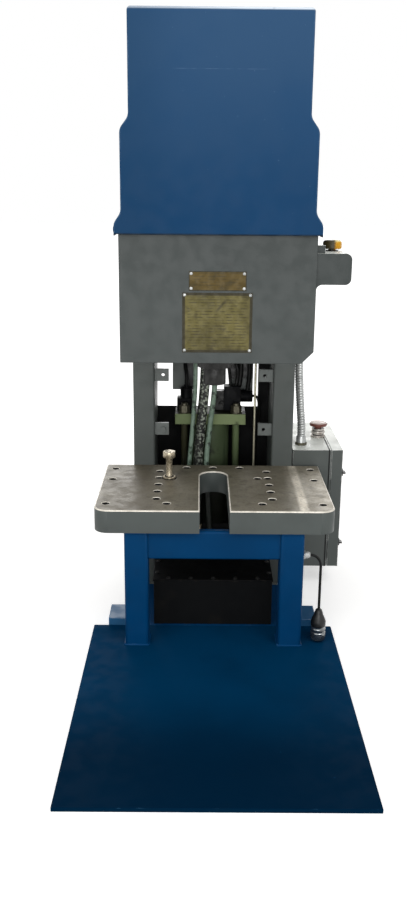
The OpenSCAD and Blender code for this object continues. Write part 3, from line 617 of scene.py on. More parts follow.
# The deck darkens toward its front as painted reflection of its dark surroundings.
DECK_BLUE = Enamel(
    "deck_blue_enamel", "#013557", "#012e4d", edge_wear_and_highlight="#3f6788", roughness=0.6, specular=0.012,
    edge_wear_and_highlight_low=0.57, grime_cover=0.05, runs=0.0, under=(Grade(Y, -0.58, -1.02, "#001a2f", 0.85),),
)
PAD_BLUE = Enamel(
    "pad_blue_enamel", "#2a5f88", "#1c4d75", edge_wear_and_highlight="#a9a79f", edge_wear_and_highlight_low=0.42, edge_wear_and_highlight_radius_mm=5.0
)
# Brushed green enamel under old oil: matt and grimy, darker on upward faces; the barrel's darker
# copy and the darkening toward the bottom of barrel and rods are painted shade.
GREEN = Enamel(
    "pale_green_enamel", "#8b9a70", "#6c7a55", edge_wear_and_highlight="#34352c", edge_wear_and_highlight_low=0.46,
    edge_wear_and_highlight_radius_mm=4.0, grime="#171912", grime_cover=0.95, roughness=0.55, specular=0.1,
    runs=0.6, top_face_colour="#15160f",
)
# The barrel: a darker copy of the green as painted shade, grimy, deepening toward the bottom as
# painted shade.
BARREL_GREEN = Enamel(
    "grimy_barrel_enamel_shaded", "#4b583e", "#2b3425", edge_wear_and_highlight="#34352c", grime="#12140e",
    grime_cover=0.95, roughness=0.5, specular=0.15, runs=0.85, over=(Grade(Z, 0.52, 0.36),),
)
# The rods darken toward the bottom as painted shade; the brown smear on the left rod is grime.
ROD_GREEN = Enamel(
    "grimy_rod_enamel_shaded", "#6c7c58", "#54633f", edge_wear_and_highlight="#34352c", grime="#171912", grime_cover=0.8,
    over=(Grade(X, -0.03, -0.08, "#332d21", 0.85), Grade(Z, 0.56, 0.36)),
)
# Paler edge lines on the tank and the other dark parts are painted highlight.
DARK_PAINT = Enamel(
    "dark_tank_paint", "#0b0c0d", "#08090a", edge_wear_and_highlight="#4a453d", grime="#2b261f", roughness=0.55,
    specular=0.1, edge_wear_and_highlight_low=0.5,
)
HOOD_BLUE = HoodEnamel()
# Steel: bright and streaked where it is ground or rubbed, dull and dark under oil; the edge steel's
# near white is partly painted highlight, and the bore steel's black is painted shade with oil.
TABLE = TableSteel()
RAM_STEEL = Metal("ground_ram_steel", "#b4b5b4", "#7b776f", roughness=0.25, stain_cover=0.3)
DARK_STEEL = Metal("oiled_dark_steel", "#222221", "#121211", roughness=0.44, metallic=0.4)
EDGE_STEEL = Metal("rubbed_edge_steel_highlight", "#f0eadd", "#b9b2a4", roughness=0.34, metallic=0.15)
# Near-black steel for painted shade inside the table's holes and under the pin's washer, with oil.
BORE_STEEL = Metal("oily_steel_painted_shade", "#0a0908", "#050505", roughness=0.85, metallic=0.0)
PIN_STEEL = Metal(
    "worn_pin_steel", "#b3a892", "#4e4637", roughness=0.3, metallic=0.8, stain_mm=14.0
)
NUT_STEEL = Metal("oily_nut_steel", "#5a5747", "#29271d", roughness=0.4, metallic=0.5, stain_mm=9.0)
# Zinc and bare plating: pale gray, with soft dull blotches.
GALVANISED = Metal("galvanised_steel", "#b6b8b7", "#7b7e7e", roughness=0.34, metallic=0.6)
COLLAR_STEEL = Metal("worn_collar_steel", "#c4bfb9", "#7c6c62", roughness=0.34, metallic=0.6)
SHELL_STEEL = Metal("dark_plug_shell", "#8f9394", "#3a3b3c", roughness=0.2, metallic=0.9)
PANEL_ZINC = Metal("zinc_plated_sheet", "#b9b59f", "#96917c", roughness=0.42, metallic=0.7)
# Lacquered brass: brown gold with a low sheen, dark in its rows and rim.
UPPER_BRASS = OldBrass(
    "upper_brass_sheet", "#443713", "#53441d", 84.0, 1161.0, 1217.0, 2.5, rules=0.5
)
LOWER_BRASS = OldBrass(
    "lower_brass_sheet", "#4c4624", "#615a32", 103.0, 979.0, 1155.0, 8.0, rules=0.75, smear_mm=45.0
)
# Moulded nylon and rubber: near black, with a broad dull highlight.
BLACK_PLASTIC = Moulding("black_moulded_nylon", "#0d0e0f", "#151617", roughness=0.42)
VALVE_BLACK = Moulding("oily_valve_black", "#08090b", "#101114", roughness=0.55, specular=0.1)
RUBBER = Moulding("black_hose_rubber", "#0e0f0f", "#161716", roughness=0.55, specular=0.2)
# The hose and the two lines darken toward the bottom as painted shade.
FLAKED = Moulding(
    "flaked_hose_rubber", "#0a0c0a", "#121611", dust="#bcc5b5", dust_mm=9.0, dust_low=0.5,
    dust_high=0.58, dust_cover=0.8, dust_side=(-0.062, -0.03), over=(Grade(Z, 0.5, 0.36),),
)
GREEN_LINE = Moulding(
    "pale_painted_line", "#879d8c", "#6c8372", dust="#1a1f1a", dust_mm=18.0, dust_low=0.52,
    dust_high=0.66, dust_cover=0.8, over=(Grade(Z, 0.5, 0.36),),
)
# Moulded button caps: clear colour at the sides; the red cap's top is faded pale, the yellow cap's
# pale top is painted highlight and its side toward the head painted shade.
YELLOW = Moulding(
    "yellow_moulded_cap", "#d59a00", "#c68c02", roughness=0.4, bleach_and_highlight="#f0dc92",
    over=(Grade(X, 0.356, 0.345, "#403820", 1.0),),
)
RED = Moulding("faded_red_cap", "#6b3a31", "#7d4a40", roughness=0.42, bleach_and_highlight="#cbb8b0")


@cache
def material_of(finish: Finish) -> Material:
    """Gives the material of a finish, built on first use."""
    return finish.build()


def smooth_faces(bm: BMesh) -> list[bool]:
    """Says which faces are shaded smooth: all but wide panels.

    A panel's only soft neighbours are narrow roundings, which would bend its shading.

    Args:
        bm: the shape.

    Returns:
        One value for each face, in order.
    """
    bm.faces.index_update()
    areas = [face.calc_area() for face in bm.faces]
    return [
        any(
            areas[other.index] > PANEL_SHARE * areas[face.index]
            for edge in face.edges
            if edge.is_manifold and SAME_ANGLE < edge.calc_face_angle() < SHARP_ANGLE
            for other in edge.link_faces
            if other is not face
        )
        for face in bm.faces
    ]


def place(
    name: str,
    bm: BMesh,
    finish: Finish,
    body: Body = Body.FRAME,
    nodes: Sequence[str] = (),
    more: Sequence[Finish] = (),
) -> Object:
    """Turns a bmesh into a finished piece that rides on a body.

    Args:
        name: the piece's name.
        bm: its shape in the row frame; it is freed.
        finish: the finish it wears.
        body: the body it rides on.
        nodes: CAD nodes that it stands for.
        more: finishes of the faces whose material index is above 0.

    Returns:
        The new object, at the origin.
    """
    smooth = smooth_faces(bm)
    mesh = bpy.data.meshes.new(name)
    bm.to_mesh(mesh)
    bm.free()
    mesh.set_sharp_from_angle(angle=SHARP_ANGLE)
    mesh.polygons.foreach_set("use_smooth", smooth)
    piece = bpy.data.objects.new(name, mesh)
    bpy.context.scene.collection.objects.link(piece)
    for worn in (finish, *more):
        mesh.materials.append(material_of(worn))
    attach(piece, body.value)
    if nodes:
        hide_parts(*nodes)
    LOG.info("%s: %d faces", name, len(mesh.polygons))
    return piece


def stand_in(
    node: str,
    bm: BMesh,
    finish: Finish,
    body: Body = Body.FRAME,
    more: Sequence[Finish] = (),
) -> Object:
    """Places a piece that stands for one CAD node, under its name."""
    return place(f"{node}_dressed", bm, finish, body, [node], more)


def plain(node: str) -> BMesh:
    """Copies a CAD node's shape, merged and with its flat faces whole.

    Args:
        node: the CAD node.

    Returns:
        The copied shape.
    """
    bm = bmesh.new()
    bm.from_mesh(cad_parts[node].data)
    bmesh.ops.remove_doubles(bm, verts=bm.verts, dist=MERGE_MM * MM)
    bmesh.ops.dissolve_limit(bm, angle_limit=FLAT_ANGLE, verts=bm.verts[:], edges=bm.edges[:])
    return bm


def sharp_edges(bm: BMesh) -> list[BMEdge]:
    """Lists the edges where two faces meet at a clear angle."""
    return [e for e in bm.edges if e.is_manifold and e.calc_face_angle() > SHARP_ANGLE]


def round_edges(
    bm: BMesh,
    edges: Iterable[BMEdge],
    width_mm: float,
    segments: int = 2,
    clamped: bool = True,
) -> None:
    """Rounds some edges of a shape.

    Args:
        bm: the shape.
        edges: the edges to round.
        width_mm: how far each rounding reaches from the edge.
        segments: faces across each rounding.
        clamped: whether the width gives way where neighbours are close.
    """
    bmesh.ops.bevel(
        bm,
        geom=list(edges),
        offset=width_mm * MM,
        offset_type="OFFSET",
        segments=segments,
        profile=0.5,
        affect="EDGES",
        clamp_overlap=clamped,
        material=-1,
    )


def edges_of(verts: Iterable[BMVert]) -> list[BMEdge]:
    """Lists the edges at some corners, each once and always in the same order."""
    return list(dict.fromkeys(edge for vert in verts for edge in vert.link_edges))


def turn_outward(bm: BMesh, verts: Iterable[BMVert]) -> None:
    """Turns the faces at some corners outward."""
    faces = dict.fromkeys(face for vert in verts for face in vert.link_faces)
    bmesh.ops.recalc_face_normals(bm, faces=list(faces))


def rounded(node: str, width_mm: float) -> BMesh:
    """Copies a CAD node's shape and rounds all its sharp edges.

    Args:
        node: the CAD node.
        width_mm: how far each rounding reaches from the edge.

    Returns:
        The rounded copy.
    """
    bm = plain(node)
    round_edges(bm, sharp_edges(bm), width_mm)
    return bm


def soften(finish: Finish, width_mm: float, *nodes: str, body: Body = Body.FRAME) -> None:
    """Stands in for CAD nodes with their edges rounded and one finish."""
    for node in nodes:
        stand_in(node, rounded(node, width_mm), finish, body)


def mark_faces(bm: BMesh, test: Callable[[Vector], bool]) -> None:
    """Gives the second finish to the faces whose middle passes a test."""
    for face in bm.faces:
        face.material_index = int(test(face.calc_center_median()))


def spot(point: Point, facing: Facing = Facing.UP) -> Matrix:
    """Gives the matrix that stands a shape's Z axis at a point, along a direction."""
    turn = Vector(facing.value).to_track_quat("Z", "Y").to_matrix().to_4x4()
    return Matrix.Translation(Vector(point)) @ turn


def standing(node: str) -> tuple[Matrix, float]:
    """Measures a turned node that stands upright.

    Args:
        node: the CAD node.

    Returns:
        The matrix at the foot of its axis, and its height in millimetres.
    """
    low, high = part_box(node)
    centre = (low + high) / 2
    return spot((centre.x, centre.y, low.z)), (high.z - low.z) / MM


def turned(bm: BMesh, profile: Profile, where: Matrix, steps: int) -> None:
    """Adds a turned shape to a bmesh.

    Args:
        bm: the bmesh that takes it.
        profile: radius and height of each corner in millimetres, bottom to top.
        where: matrix that places it.
        steps: faces round the axis.
    """
    corners = [bm.verts.new((r * MM, 0.0, z * MM)) for r, z in profile]
    rims = [bm.edges.new(pair) for pair in zip(corners, corners[1:])]
    old = set(bm.verts) - set(corners)
    bmesh.ops.spin(
        bm,
        geom=corners + rims,
        cent=(0, 0, 0),
        axis=(0, 0, 1),
        angle=math.tau,
        steps=steps,
        use_merge=True,
        use_duplicate=False,
    )
    fresh = [v for v in bm.verts if v not in old]
    bmesh.ops.remove_doubles(bm, verts=fresh, dist=AXIS_MERGE_MM * MM)
    fresh = [v for v in bm.verts if v not in old]
    turn_outward(bm, fresh)
    bmesh.ops.transform(bm, matrix=where, verts=fresh)


def hexagon(bm: BMesh, across_mm: float, height_mm: float, where: Matrix) -> None:
    """Adds a chamfered hexagon head to a bmesh.

    Args:
        bm: the bmesh that takes it.
        across_mm: size across its flats.
        height_mm: its height.
        where: matrix that stands it on a surface.
    """
    radius = across_mm / math.sqrt(3) * MM
    made = bmesh.ops.create_cone(
        bm,
        cap_ends=True,
        segments=6,
        radius1=radius,
        radius2=radius,
        depth=height_mm * MM,
        matrix=where @ Matrix.Translation((0, 0, height_mm * MM / 2)),
    )
    round_edges(bm, edges_of(made["verts"]), HEAD_CHAMFER * height_mm)


def slab(bm: BMesh, low: Point, high: Point, round_mm: float) -> None:
    """Adds a box with rounded edges to a bmesh.

    Args:
        bm: the bmesh that takes it.
        low: its lowest corner.
        high: its highest corner.
        round_mm: rounding of its edges.
    """
    low, high = Vector(low), Vector(high)
    middle = Matrix.Translation((low + high) / 2) @ Matrix.Diagonal((*(high - low), 1.0))
    made = bmesh.ops.create_cube(bm, size=1.0, matrix=middle)
    round_edges(bm, edges_of(made["verts"]), round_mm)


def smooth_path(stations_mm: Iterable[Point], step_mm: float) -> list[Vector]:
    """Draws an even, smooth line through a few stations.

    Args:
        stations_mm: points in the row frame, in millimetres.
        step_mm: distance between the points that come back.

    Returns:
        Points along the smooth line, in metres.
    """
    stations = [Vector(station) * MM for station in stations_mm]
    fine: list[Vector] = []
    last = len(stations) - 1
    for i in range(last):
        a, b = stations[max(i - 1, 0)], stations[i]
        c, d = stations[i + 1], stations[min(i + 2, last)]
        for k in range(CURVE_STEPS):
            t = k / CURVE_STEPS
            cubic = (3 * b - a - 3 * c + d) * t**3
            fine.append(
                0.5 * (2 * b + (c - a) * t + (2 * a - 5 * b + 4 * c - d) * t * t + cubic)
            )
    fine.append(stations[-1])
    length = sum((q - p).length for p, q in zip(fine, fine[1:]))
    count = max(2, round(length / (step_mm * MM)))
    even, travelled, goal = [fine[0]], 0.0, length / count
    for p, q in zip(fine, fine[1:]):
        stretch = (q - p).length
        reach = travelled + stretch + PATH_SLACK
        while stretch > 0 and reach >= goal * len(even) and len(even) < count:
            even.append(p.lerp(q, (goal * len(even) - travelled) / stretch))
        travelled += stretch
    return even + [fine[-1]]


def swept(
    bm: BMesh, path: Sequence[Vector], radii_mm: Sequence[float], sides: int, side: Facing
) -> None:
    """Adds a round run along a path by extruding a ring from point to point.

    Args:
        bm: the bmesh that takes it.
        path: points of its centre line.
        radii_mm: radius at successive points, repeated along the path.
        sides: faces round the run.
        side: direction that is never along the path, which keeps the rings from turning.
    """
    frames = []
    for i, point in enumerate(path):
        ahead = (path[min(i + 1, len(path) - 1)] - path[max(i - 1, 0)]).normalized()
        across = ahead.cross(Vector(side.value)).normalized()
        axes = Matrix((across, ahead.cross(across), ahead)).transposed().to_4x4()
        scale = Matrix.Diagonal((*[radii_mm[i % len(radii_mm)] * MM] * 3, 1.0))
        frames.append(Matrix.Translation(point) @ axes @ scale)
    start = bmesh.ops.create_circle(
        bm, cap_ends=True, radius=1.0, segments=sides, matrix=frames[0]
    )
    fresh = list(start["verts"])
    rims = edges_of(fresh)
    for before, after in zip(frames, frames[1:]):
        grown = bmesh.ops.extrude_edge_only(bm, edges=rims)["geom"]
        ring = [g for g in grown if isinstance(g, BMVert)]
        rims = [g for g in grown if isinstance(g, BMEdge) and all(v in ring for v in g.verts)]
        bmesh.ops.transform(bm, matrix=after @ before.inverted(), verts=ring)
        fresh += ring
    bmesh.ops.contextual_create(bm, geom=rims)
    turn_outward(bm, fresh)


@dataclass
class Stand:
    """Blue stand: floor plates, foot pads, legs, rails and apron."""

    plate_round_mm: float = 1.2
    tube_round_mm: float = 0.8
    pad_round_mm: float = 2.5

    def build(self) -> None:
        """Dresses the stand."""
        soften(DECK_BLUE, self.plate_round_mm, "deck_plate")
        soften(STAND_BLUE, self.plate_round_mm, "sole_plate")
        soften(PAD_BLUE, self.pad_round_mm, "foot_pads")
        tubes = ("left_front_leg", "right_front_leg", "front_apron")
        soften(STAND_BLUE, self.tube_round_mm, *tubes, "left_side_rail", "right_side_rail")


@dataclass
class WorkTable:
    """Slotted table, its bright rims partly rubbed and partly painted highlight, its holes darkened
    as painted shade, and the stop pin that stands in it.
    """

    edge_round_mm: float = 4.0
    rim_mm: float = 1.8
    under_round_mm: float = 1.0
    pin_round_mm: float = 1.4
    hole_mm: float = 12.5
    hole_slack_mm: float = 0.5
    rim_slope: tuple[float, float] = (0.15, 0.97)
    wall_slope: float = 0.2
    hole_rows: tuple[tuple[float, Row], ...] = (
        (347.0, (75.0, -45.0, -297.0)),
        (188.0, (47.0, -27.0, -101.0, -175.0, -249.0)),
        (153.0, (-30.0, -295.0)),
        (95.0, (92.0,)),
    )
    middle_hole: tuple[float, float] = (0.0, 92.0)

    def at_hole(self, point: Vector) -> bool:
        """Says whether a point lies at one of the tooling holes.

        Args:
            point: any point of the table.

        Returns:
            Whether a hole and its rim reach the point.
        """
        reach = (self.hole_mm + self.edge_round_mm + self.hole_slack_mm) * MM
        rows = [(side * x, y) for x, ys in self.hole_rows for y in ys for side in (-1, 1)]
        centres = (Vector(hole) * MM for hole in (*rows, self.middle_hole))
        return any((point.xy - centre).length < reach for centre in centres)

    def top_edges(self, bm: BMesh, at_hole: bool) -> list[BMEdge]:
        """Lists the sharp edges of the table's top.

        Args:
            bm: the table.
            at_hole: whether to list the rims of holes or all the others.

        Returns:
            The edges.
        """
        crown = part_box("work_table")[1].z - NEAR
        upper = (e for e in sharp_edges(bm) if all(v.co.z > crown for v in e.verts))
        return [e for e in upper if self.at_hole(e.verts[0].co) == at_hole]

    def build(self) -> None:
        """Dresses the table and the pin."""
        bm = plain("work_table")
        round_edges(bm, self.top_edges(bm, False), self.edge_round_mm, clamped=False)
        round_edges(bm, self.top_edges(bm, True), self.rim_mm, clamped=False)
        round_edges(bm, sharp_edges(bm), self.under_round_mm)
        bm.normal_update()
        steep, flat = self.rim_slope
        # Tilted rim faces take the bright edge steel, partly rubbed and partly painted highlight;
        # hole walls take near-black steel as painted shade.
        for face in bm.faces:
            up = face.normal.z
            if steep < up < flat:
                face.material_index = 1
            elif up < self.wall_slope and self.at_hole(face.calc_center_median()):
                face.material_index = 2
        stand_in("work_table", bm, TABLE, more=[EDGE_STEEL, BORE_STEEL])
        soften(PIN_STEEL, self.pin_round_mm, "stop_pin")
        self.pin_shadow_and_oil()

    def pin_shadow_and_oil(self) -> None:
        """Makes the dark rings under the pin's washer and around its shank: a painted contact
        shadow with grime, and oil at the shank.
        """
        low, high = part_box("stop_pin")
        centre = (low + high) / 2
        where = spot((centre.x, centre.y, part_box("work_table")[1].z))
        bm = bmesh.new()
        turned(bm, [(0, 0), (25.5, 0), (25.2, 0.9), (0, 0.9)], where, 40)
        turned(bm, [(0, 7), (15.5, 7), (14.8, 8), (0, 8.2)], where, 40)
        place("stop_pin_shadow_and_oil", bm, BORE_STEEL)


@dataclass
class PressFrame:
    """Gray columns, head and hood, with the ram and its cylinder."""

    plate_round_mm: float = 1.5
    panel_round_mm: float = 0.6
    seat_round_mm: float = 0.8
    rod_round_mm: float = 1.0
    holder_round_mm: float = 2.0
    hood_bend_mm: float = 10.0
    bend_above_mm: float = 30.0
    hood_outline_mm: float = 2.5
    outline_above_mm: float = 25.0
    skirt_trim_mm: float = 11.0
    lug_bolt_at: tuple[float, float] = (-0.18, 0.611)
    lug_bolt_across_mm: float = 17.0
    lug_bolt_height_mm: float = 8.0
    lug_washer_mm: float = 12.0

    def build(self) -> None:
        """Dresses the frame, the hood and the ram."""
        sides = ("head_floor_plate", "left_head_plate", "right_head_plate")
        soften(HEAD_GRAY, self.plate_round_mm, *sides, "head_back_plate", "head_front_cover")
        soften(GRAY, self.plate_round_mm, "left_column", "right_column")
        soften(LUG_GRAY, self.plate_round_mm, "guard_lugs")
        soften(DARK_PAINT, self.panel_round_mm, "rear_panel")
        self.hood()
        soften(DARK_STEEL, self.seat_round_mm, "hood_seat")
        cylinder = ("cylinder_barrel", "cylinder_cap", "cylinder_gland")
        soften(DARK_STEEL, self.plate_round_mm, *cylinder)
        soften(DARK_STEEL, self.panel_round_mm, "cylinder_bolts")
        soften(RAM_STEEL, self.plate_round_mm, "piston", body=Body.RAM)
        soften(RAM_STEEL, self.rod_round_mm, "ram_rod", body=Body.RAM)
        soften(DARK_STEEL, self.holder_round_mm, "punch_holder", body=Body.RAM)
        self.guard_bolt()

    def hood(self) -> None:
        """Dresses the hood: soft bends, a rounded outline and a trimmed skirt."""
        bm = plain("hood")
        low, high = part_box("hood")
        for vert in bm.verts:
            if vert.co.z < low.z + NEAR:
                vert.co.z += self.skirt_trim_mm * MM
        bends = []
        for edge in sharp_edges(bm):
            first, second = (v.co for v in edge.verts)
            span = second - first
            if abs(span.y) > span.length - NEAR and first.z > low.z + self.bend_above_mm * MM:
                bends.append(edge)
        round_edges(bm, bends, self.hood_bend_mm, 4, clamped=False)
        outline = []
        for edge in sharp_edges(bm):
            front = all(v.co.y < low.y + NEAR for v in edge.verts)
            back = all(v.co.y > high.y - NEAR for v in edge.verts)
            top = max(v.co.z for v in edge.verts)
            if (front or back) and top > low.z + self.outline_above_mm * MM:
                outline.append(edge)
        round_edges(bm, outline, self.hood_outline_mm, 3, clamped=False)
        stand_in("hood", bm, HOOD_BLUE)

    def guard_bolt(self) -> None:
        """Makes the one bolt that is still in the lower left lug."""
        bm = bmesh.new()
        x, z = self.lug_bolt_at
        where = spot((x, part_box("guard_lugs")[0].y, z), Facing.FRONT)
        rim = self.lug_washer_mm
        turned(bm, [(0, 0), (rim, 0), (rim, WASHER_MM), (0, WASHER_MM)], where, 28)
        lift = where @ Matrix.Translation((0, 0, WASHER_MM * MM))
        hexagon(bm, self.lug_bolt_across_mm, self.lug_bolt_height_mm, lift)
        place("guard_bolt", bm, LUG_GRAY)


@dataclass
class Nameplates:
    """Two bare brass plates screwed to the front of the head."""

    thick_mm: float = 1.2
    round_mm: float = 0.3
    screw_mm: float = 4.6
    inset_mm: float = 6.5

    def build(self) -> None:
        """Makes both plates and their screws."""
        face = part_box("head_front_cover")[0].y
        front = face - self.thick_mm * MM
        rim = self.screw_mm
        dome = [(0.0, 0.0), (rim, 0.0), (rim * 0.95, 0.9), (rim * 0.7, 1.9), (0.0, 2.6)]
        screws = bmesh.new()
        for sheet in (UPPER_BRASS, LOWER_BRASS):
            half, low, high = sheet.half_mm, sheet.low_mm, sheet.high_mm
            bm = bmesh.new()
            corners = (-half * MM, front, low * MM), (half * MM, face, high * MM)
            slab(bm, *corners, self.round_mm)
            place(sheet.name, bm, sheet)
            for x in (self.inset_mm - half, half - self.inset_mm):
                for z in (low + self.inset_mm, high - self.inset_mm):
                    turned(screws, dome, spot((x * MM, front, z * MM), Facing.FRONT), 20)
        place("plate_screws", screws, GALVANISED)


@dataclass
class Controls:
    """Control arm, buttons, conduit and enclosure."""

    arm_round_mm: float = 2.0
    box_round_mm: float = 0.7
    door_round_mm: float = 0.9
    sheet_round_mm: float = 0.4
    ring_round_mm: float = 0.5
    moulded_round_mm: float = 1.5
    latch_round_mm: float = 0.8
    button_steps: int = 56
    start_cap_mm: float = 26.0
    stop_cap_mm: float = 15.0
    groove_mm: float = 23.2
    rib_step_mm: float = 2.4
    ribs_mm: Row = (12.8, 14.6, 15.4, 14.6)
    nut_mm: float = 10.2
    nut_round_mm: float = 0.8
    gasket_mm: float = 12.0
    gasket_thick_mm: float = 1.6
    gasket_round_mm: float = 0.3
    lip_mm: float = 0.9
    lip_wide_mm: float = 4.8
    lip_gap_mm: float = 0.05
    lip_round_mm: float = 0.2
    hinge_side_mm: float = 20.0

    def build(self) -> None:
        """Dresses the controls."""
        soften(ARM_GRAY, self.arm_round_mm, "control_arm")
        soften(BLACK_PLASTIC, self.ring_round_mm, "start_ring")
        soften(BOX_GRAY, self.box_round_mm, "enclosure_box")
        soften(BOX_GRAY, self.door_round_mm, "enclosure_door", body=Body.DOOR)
        soften(PANEL_ZINC, self.sheet_round_mm, "mounting_panel")
        soften(BLACK_PLASTIC, self.moulded_round_mm, "contactor")
        soften(GALVANISED, self.sheet_round_mm, "hinge_pins")
        soften(BLACK_PLASTIC, self.latch_round_mm, "upper_latch", body=Body.LATCH_HIGH)
        soften(BLACK_PLASTIC, self.latch_round_mm, "lower_latch", body=Body.LATCH_LOW)
        self.conduit_nuts()
        self.gasket()
        self.start_cap()
        self.stop_collar()
        self.stop_cap()
        self.conduit()

    def conduit_nuts(self) -> None:
        """Makes the conduit's end fittings, with grimy lock nuts."""
        bm = rounded("conduit_fittings", self.nut_round_mm)
        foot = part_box("conduit_fittings")[0].z + self.nut_mm * MM
        mark_faces(bm, lambda middle: middle.z < foot)
        stand_in("conduit_fittings", bm, GALVANISED, more=[NUT_STEEL])

    def gasket(self) -> None:
        """Makes the dark rubber seal of the door, with the lip that closes its seam."""
        low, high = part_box("enclosure_box")
        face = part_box("enclosure_door")[0].x
        bm = bmesh.new()
        left, wide = face - self.gasket_thick_mm * MM, self.gasket_mm * MM
        for y0, y1, z0, z1 in (
            (low.y, low.y + wide, low.z, high.z),
            (high.y - wide, high.y, low.z, high.z),
            (low.y, high.y, low.z, low.z + wide),
            (low.y, high.y, high.z - wide, high.z),
        ):
            slab(bm, (left, y0, z0), (face, y1, z1), self.gasket_round_mm)
        left, right = face - self.lip_wide_mm * MM, face - NEAR
        gap, lip = self.lip_gap_mm * MM, self.lip_mm * MM
        back = high.y - self.hinge_side_mm * MM
        for y0, y1, z0, z1 in (
            (low.y - lip, low.y - gap, low.z - lip, high.z + lip),
            (low.y - gap, back, high.z + gap, high.z + lip),
            (low.y - gap, back, low.z - lip, low.z - gap),
        ):
            slab(bm, (left, y0, z0), (right, y1, z1), self.lip_round_mm)
        place("door_gasket", bm, RUBBER, Body.DOOR)

    def start_cap(self) -> None:
        """Makes the palm button with its rounded rim."""
        foot, top = standing("start_button")
        rim = top - self.start_cap_mm
        side = [(0, 0), (11, 0), (11, rim), (26.5, rim), (28.2, rim + 2), (28.5, rim + 6)]
        crown = [(28.2, top - 9), (26.8, top - 5), (23.5, top - 2), (16, top - 0.5), (0, top)]
        bm = bmesh.new()
        turned(bm, side + crown, foot, self.button_steps)
        place("start_cap_dressed", bm, YELLOW, Body.START, ["start_button"])

    def stop_collar(self) -> None:
        """Makes the ringed collar under the stop button."""
        foot, top = standing("stop_collar")
        base = [(0, 0), (27, 0), (27, 7.2), (25.6, 8.6), (22.6, 9.2), (22.6, 11.6), (24, 12.4)]
        rings = [(24, 16.4), (25.6, 17.2), (26, 18.4), (26, 23.2), (25.4, 24.8), (22.6, 25.4)]
        neck = [(22.6, 27.6), (24, 28.4), (24, top - 2), (22.6, top)]
        bore = [(13.3, top), (13.3, 6), (0, 6)]
        bm = bmesh.new()
        turned(bm, base + rings + neck + bore, foot, self.button_steps)
        axis = foot.translation.xy
        mark_faces(bm, lambda middle: (middle.xy - axis).length < self.groove_mm * MM)
        stand_in("stop_collar", bm, COLLAR_STEEL, more=[DARK_STEEL])

    def conduit(self) -> None:
        """Makes the ribbed conduit from the enclosure to the control arm."""
        rise = [(326, 215, 555), (326, 215, 565), (326, 215, 575), (324.5, 215, 617.2)]
        rise += [(317, 212.9, 699.4), (309.4, 210.1, 802.2), (307, 202.8, 904.9)]
        bend = [(307, 186.9, 1006), (313, 147, 1101.1), (323.2, 70.1, 1185.1)]
        bend += [(327.2, -25, 1218.9), (330.8, -90, 1225), (330.8, -110, 1225), (330.8, -118, 1225)]
        bm = bmesh.new()
        path = smooth_path(rise + bend, self.rib_step_mm)
        swept(bm, path, self.ribs_mm, 20, Facing.RIGHT)
        stand_in("conduit", bm, GALVANISED)

    def stop_cap(self) -> None:
        """Makes the mushroom stop button with its domed top."""
        foot, top = standing("stop_button")
        rim = top - self.stop_cap_mm
        side = [(0, 0), (13, 0), (13, rim), (29, rim), (32, rim + 1.2), (33, rim + 3.5)]
        crown = [(33, top - 6), (32, top - 3), (29, top - 1.2), (22, top - 0.4), (0, top)]
        bm = bmesh.new()
        turned(bm, side + crown, foot, self.button_steps)
        place("stop_cap_dressed", bm, RED, Body.STOP, ["stop_button"])


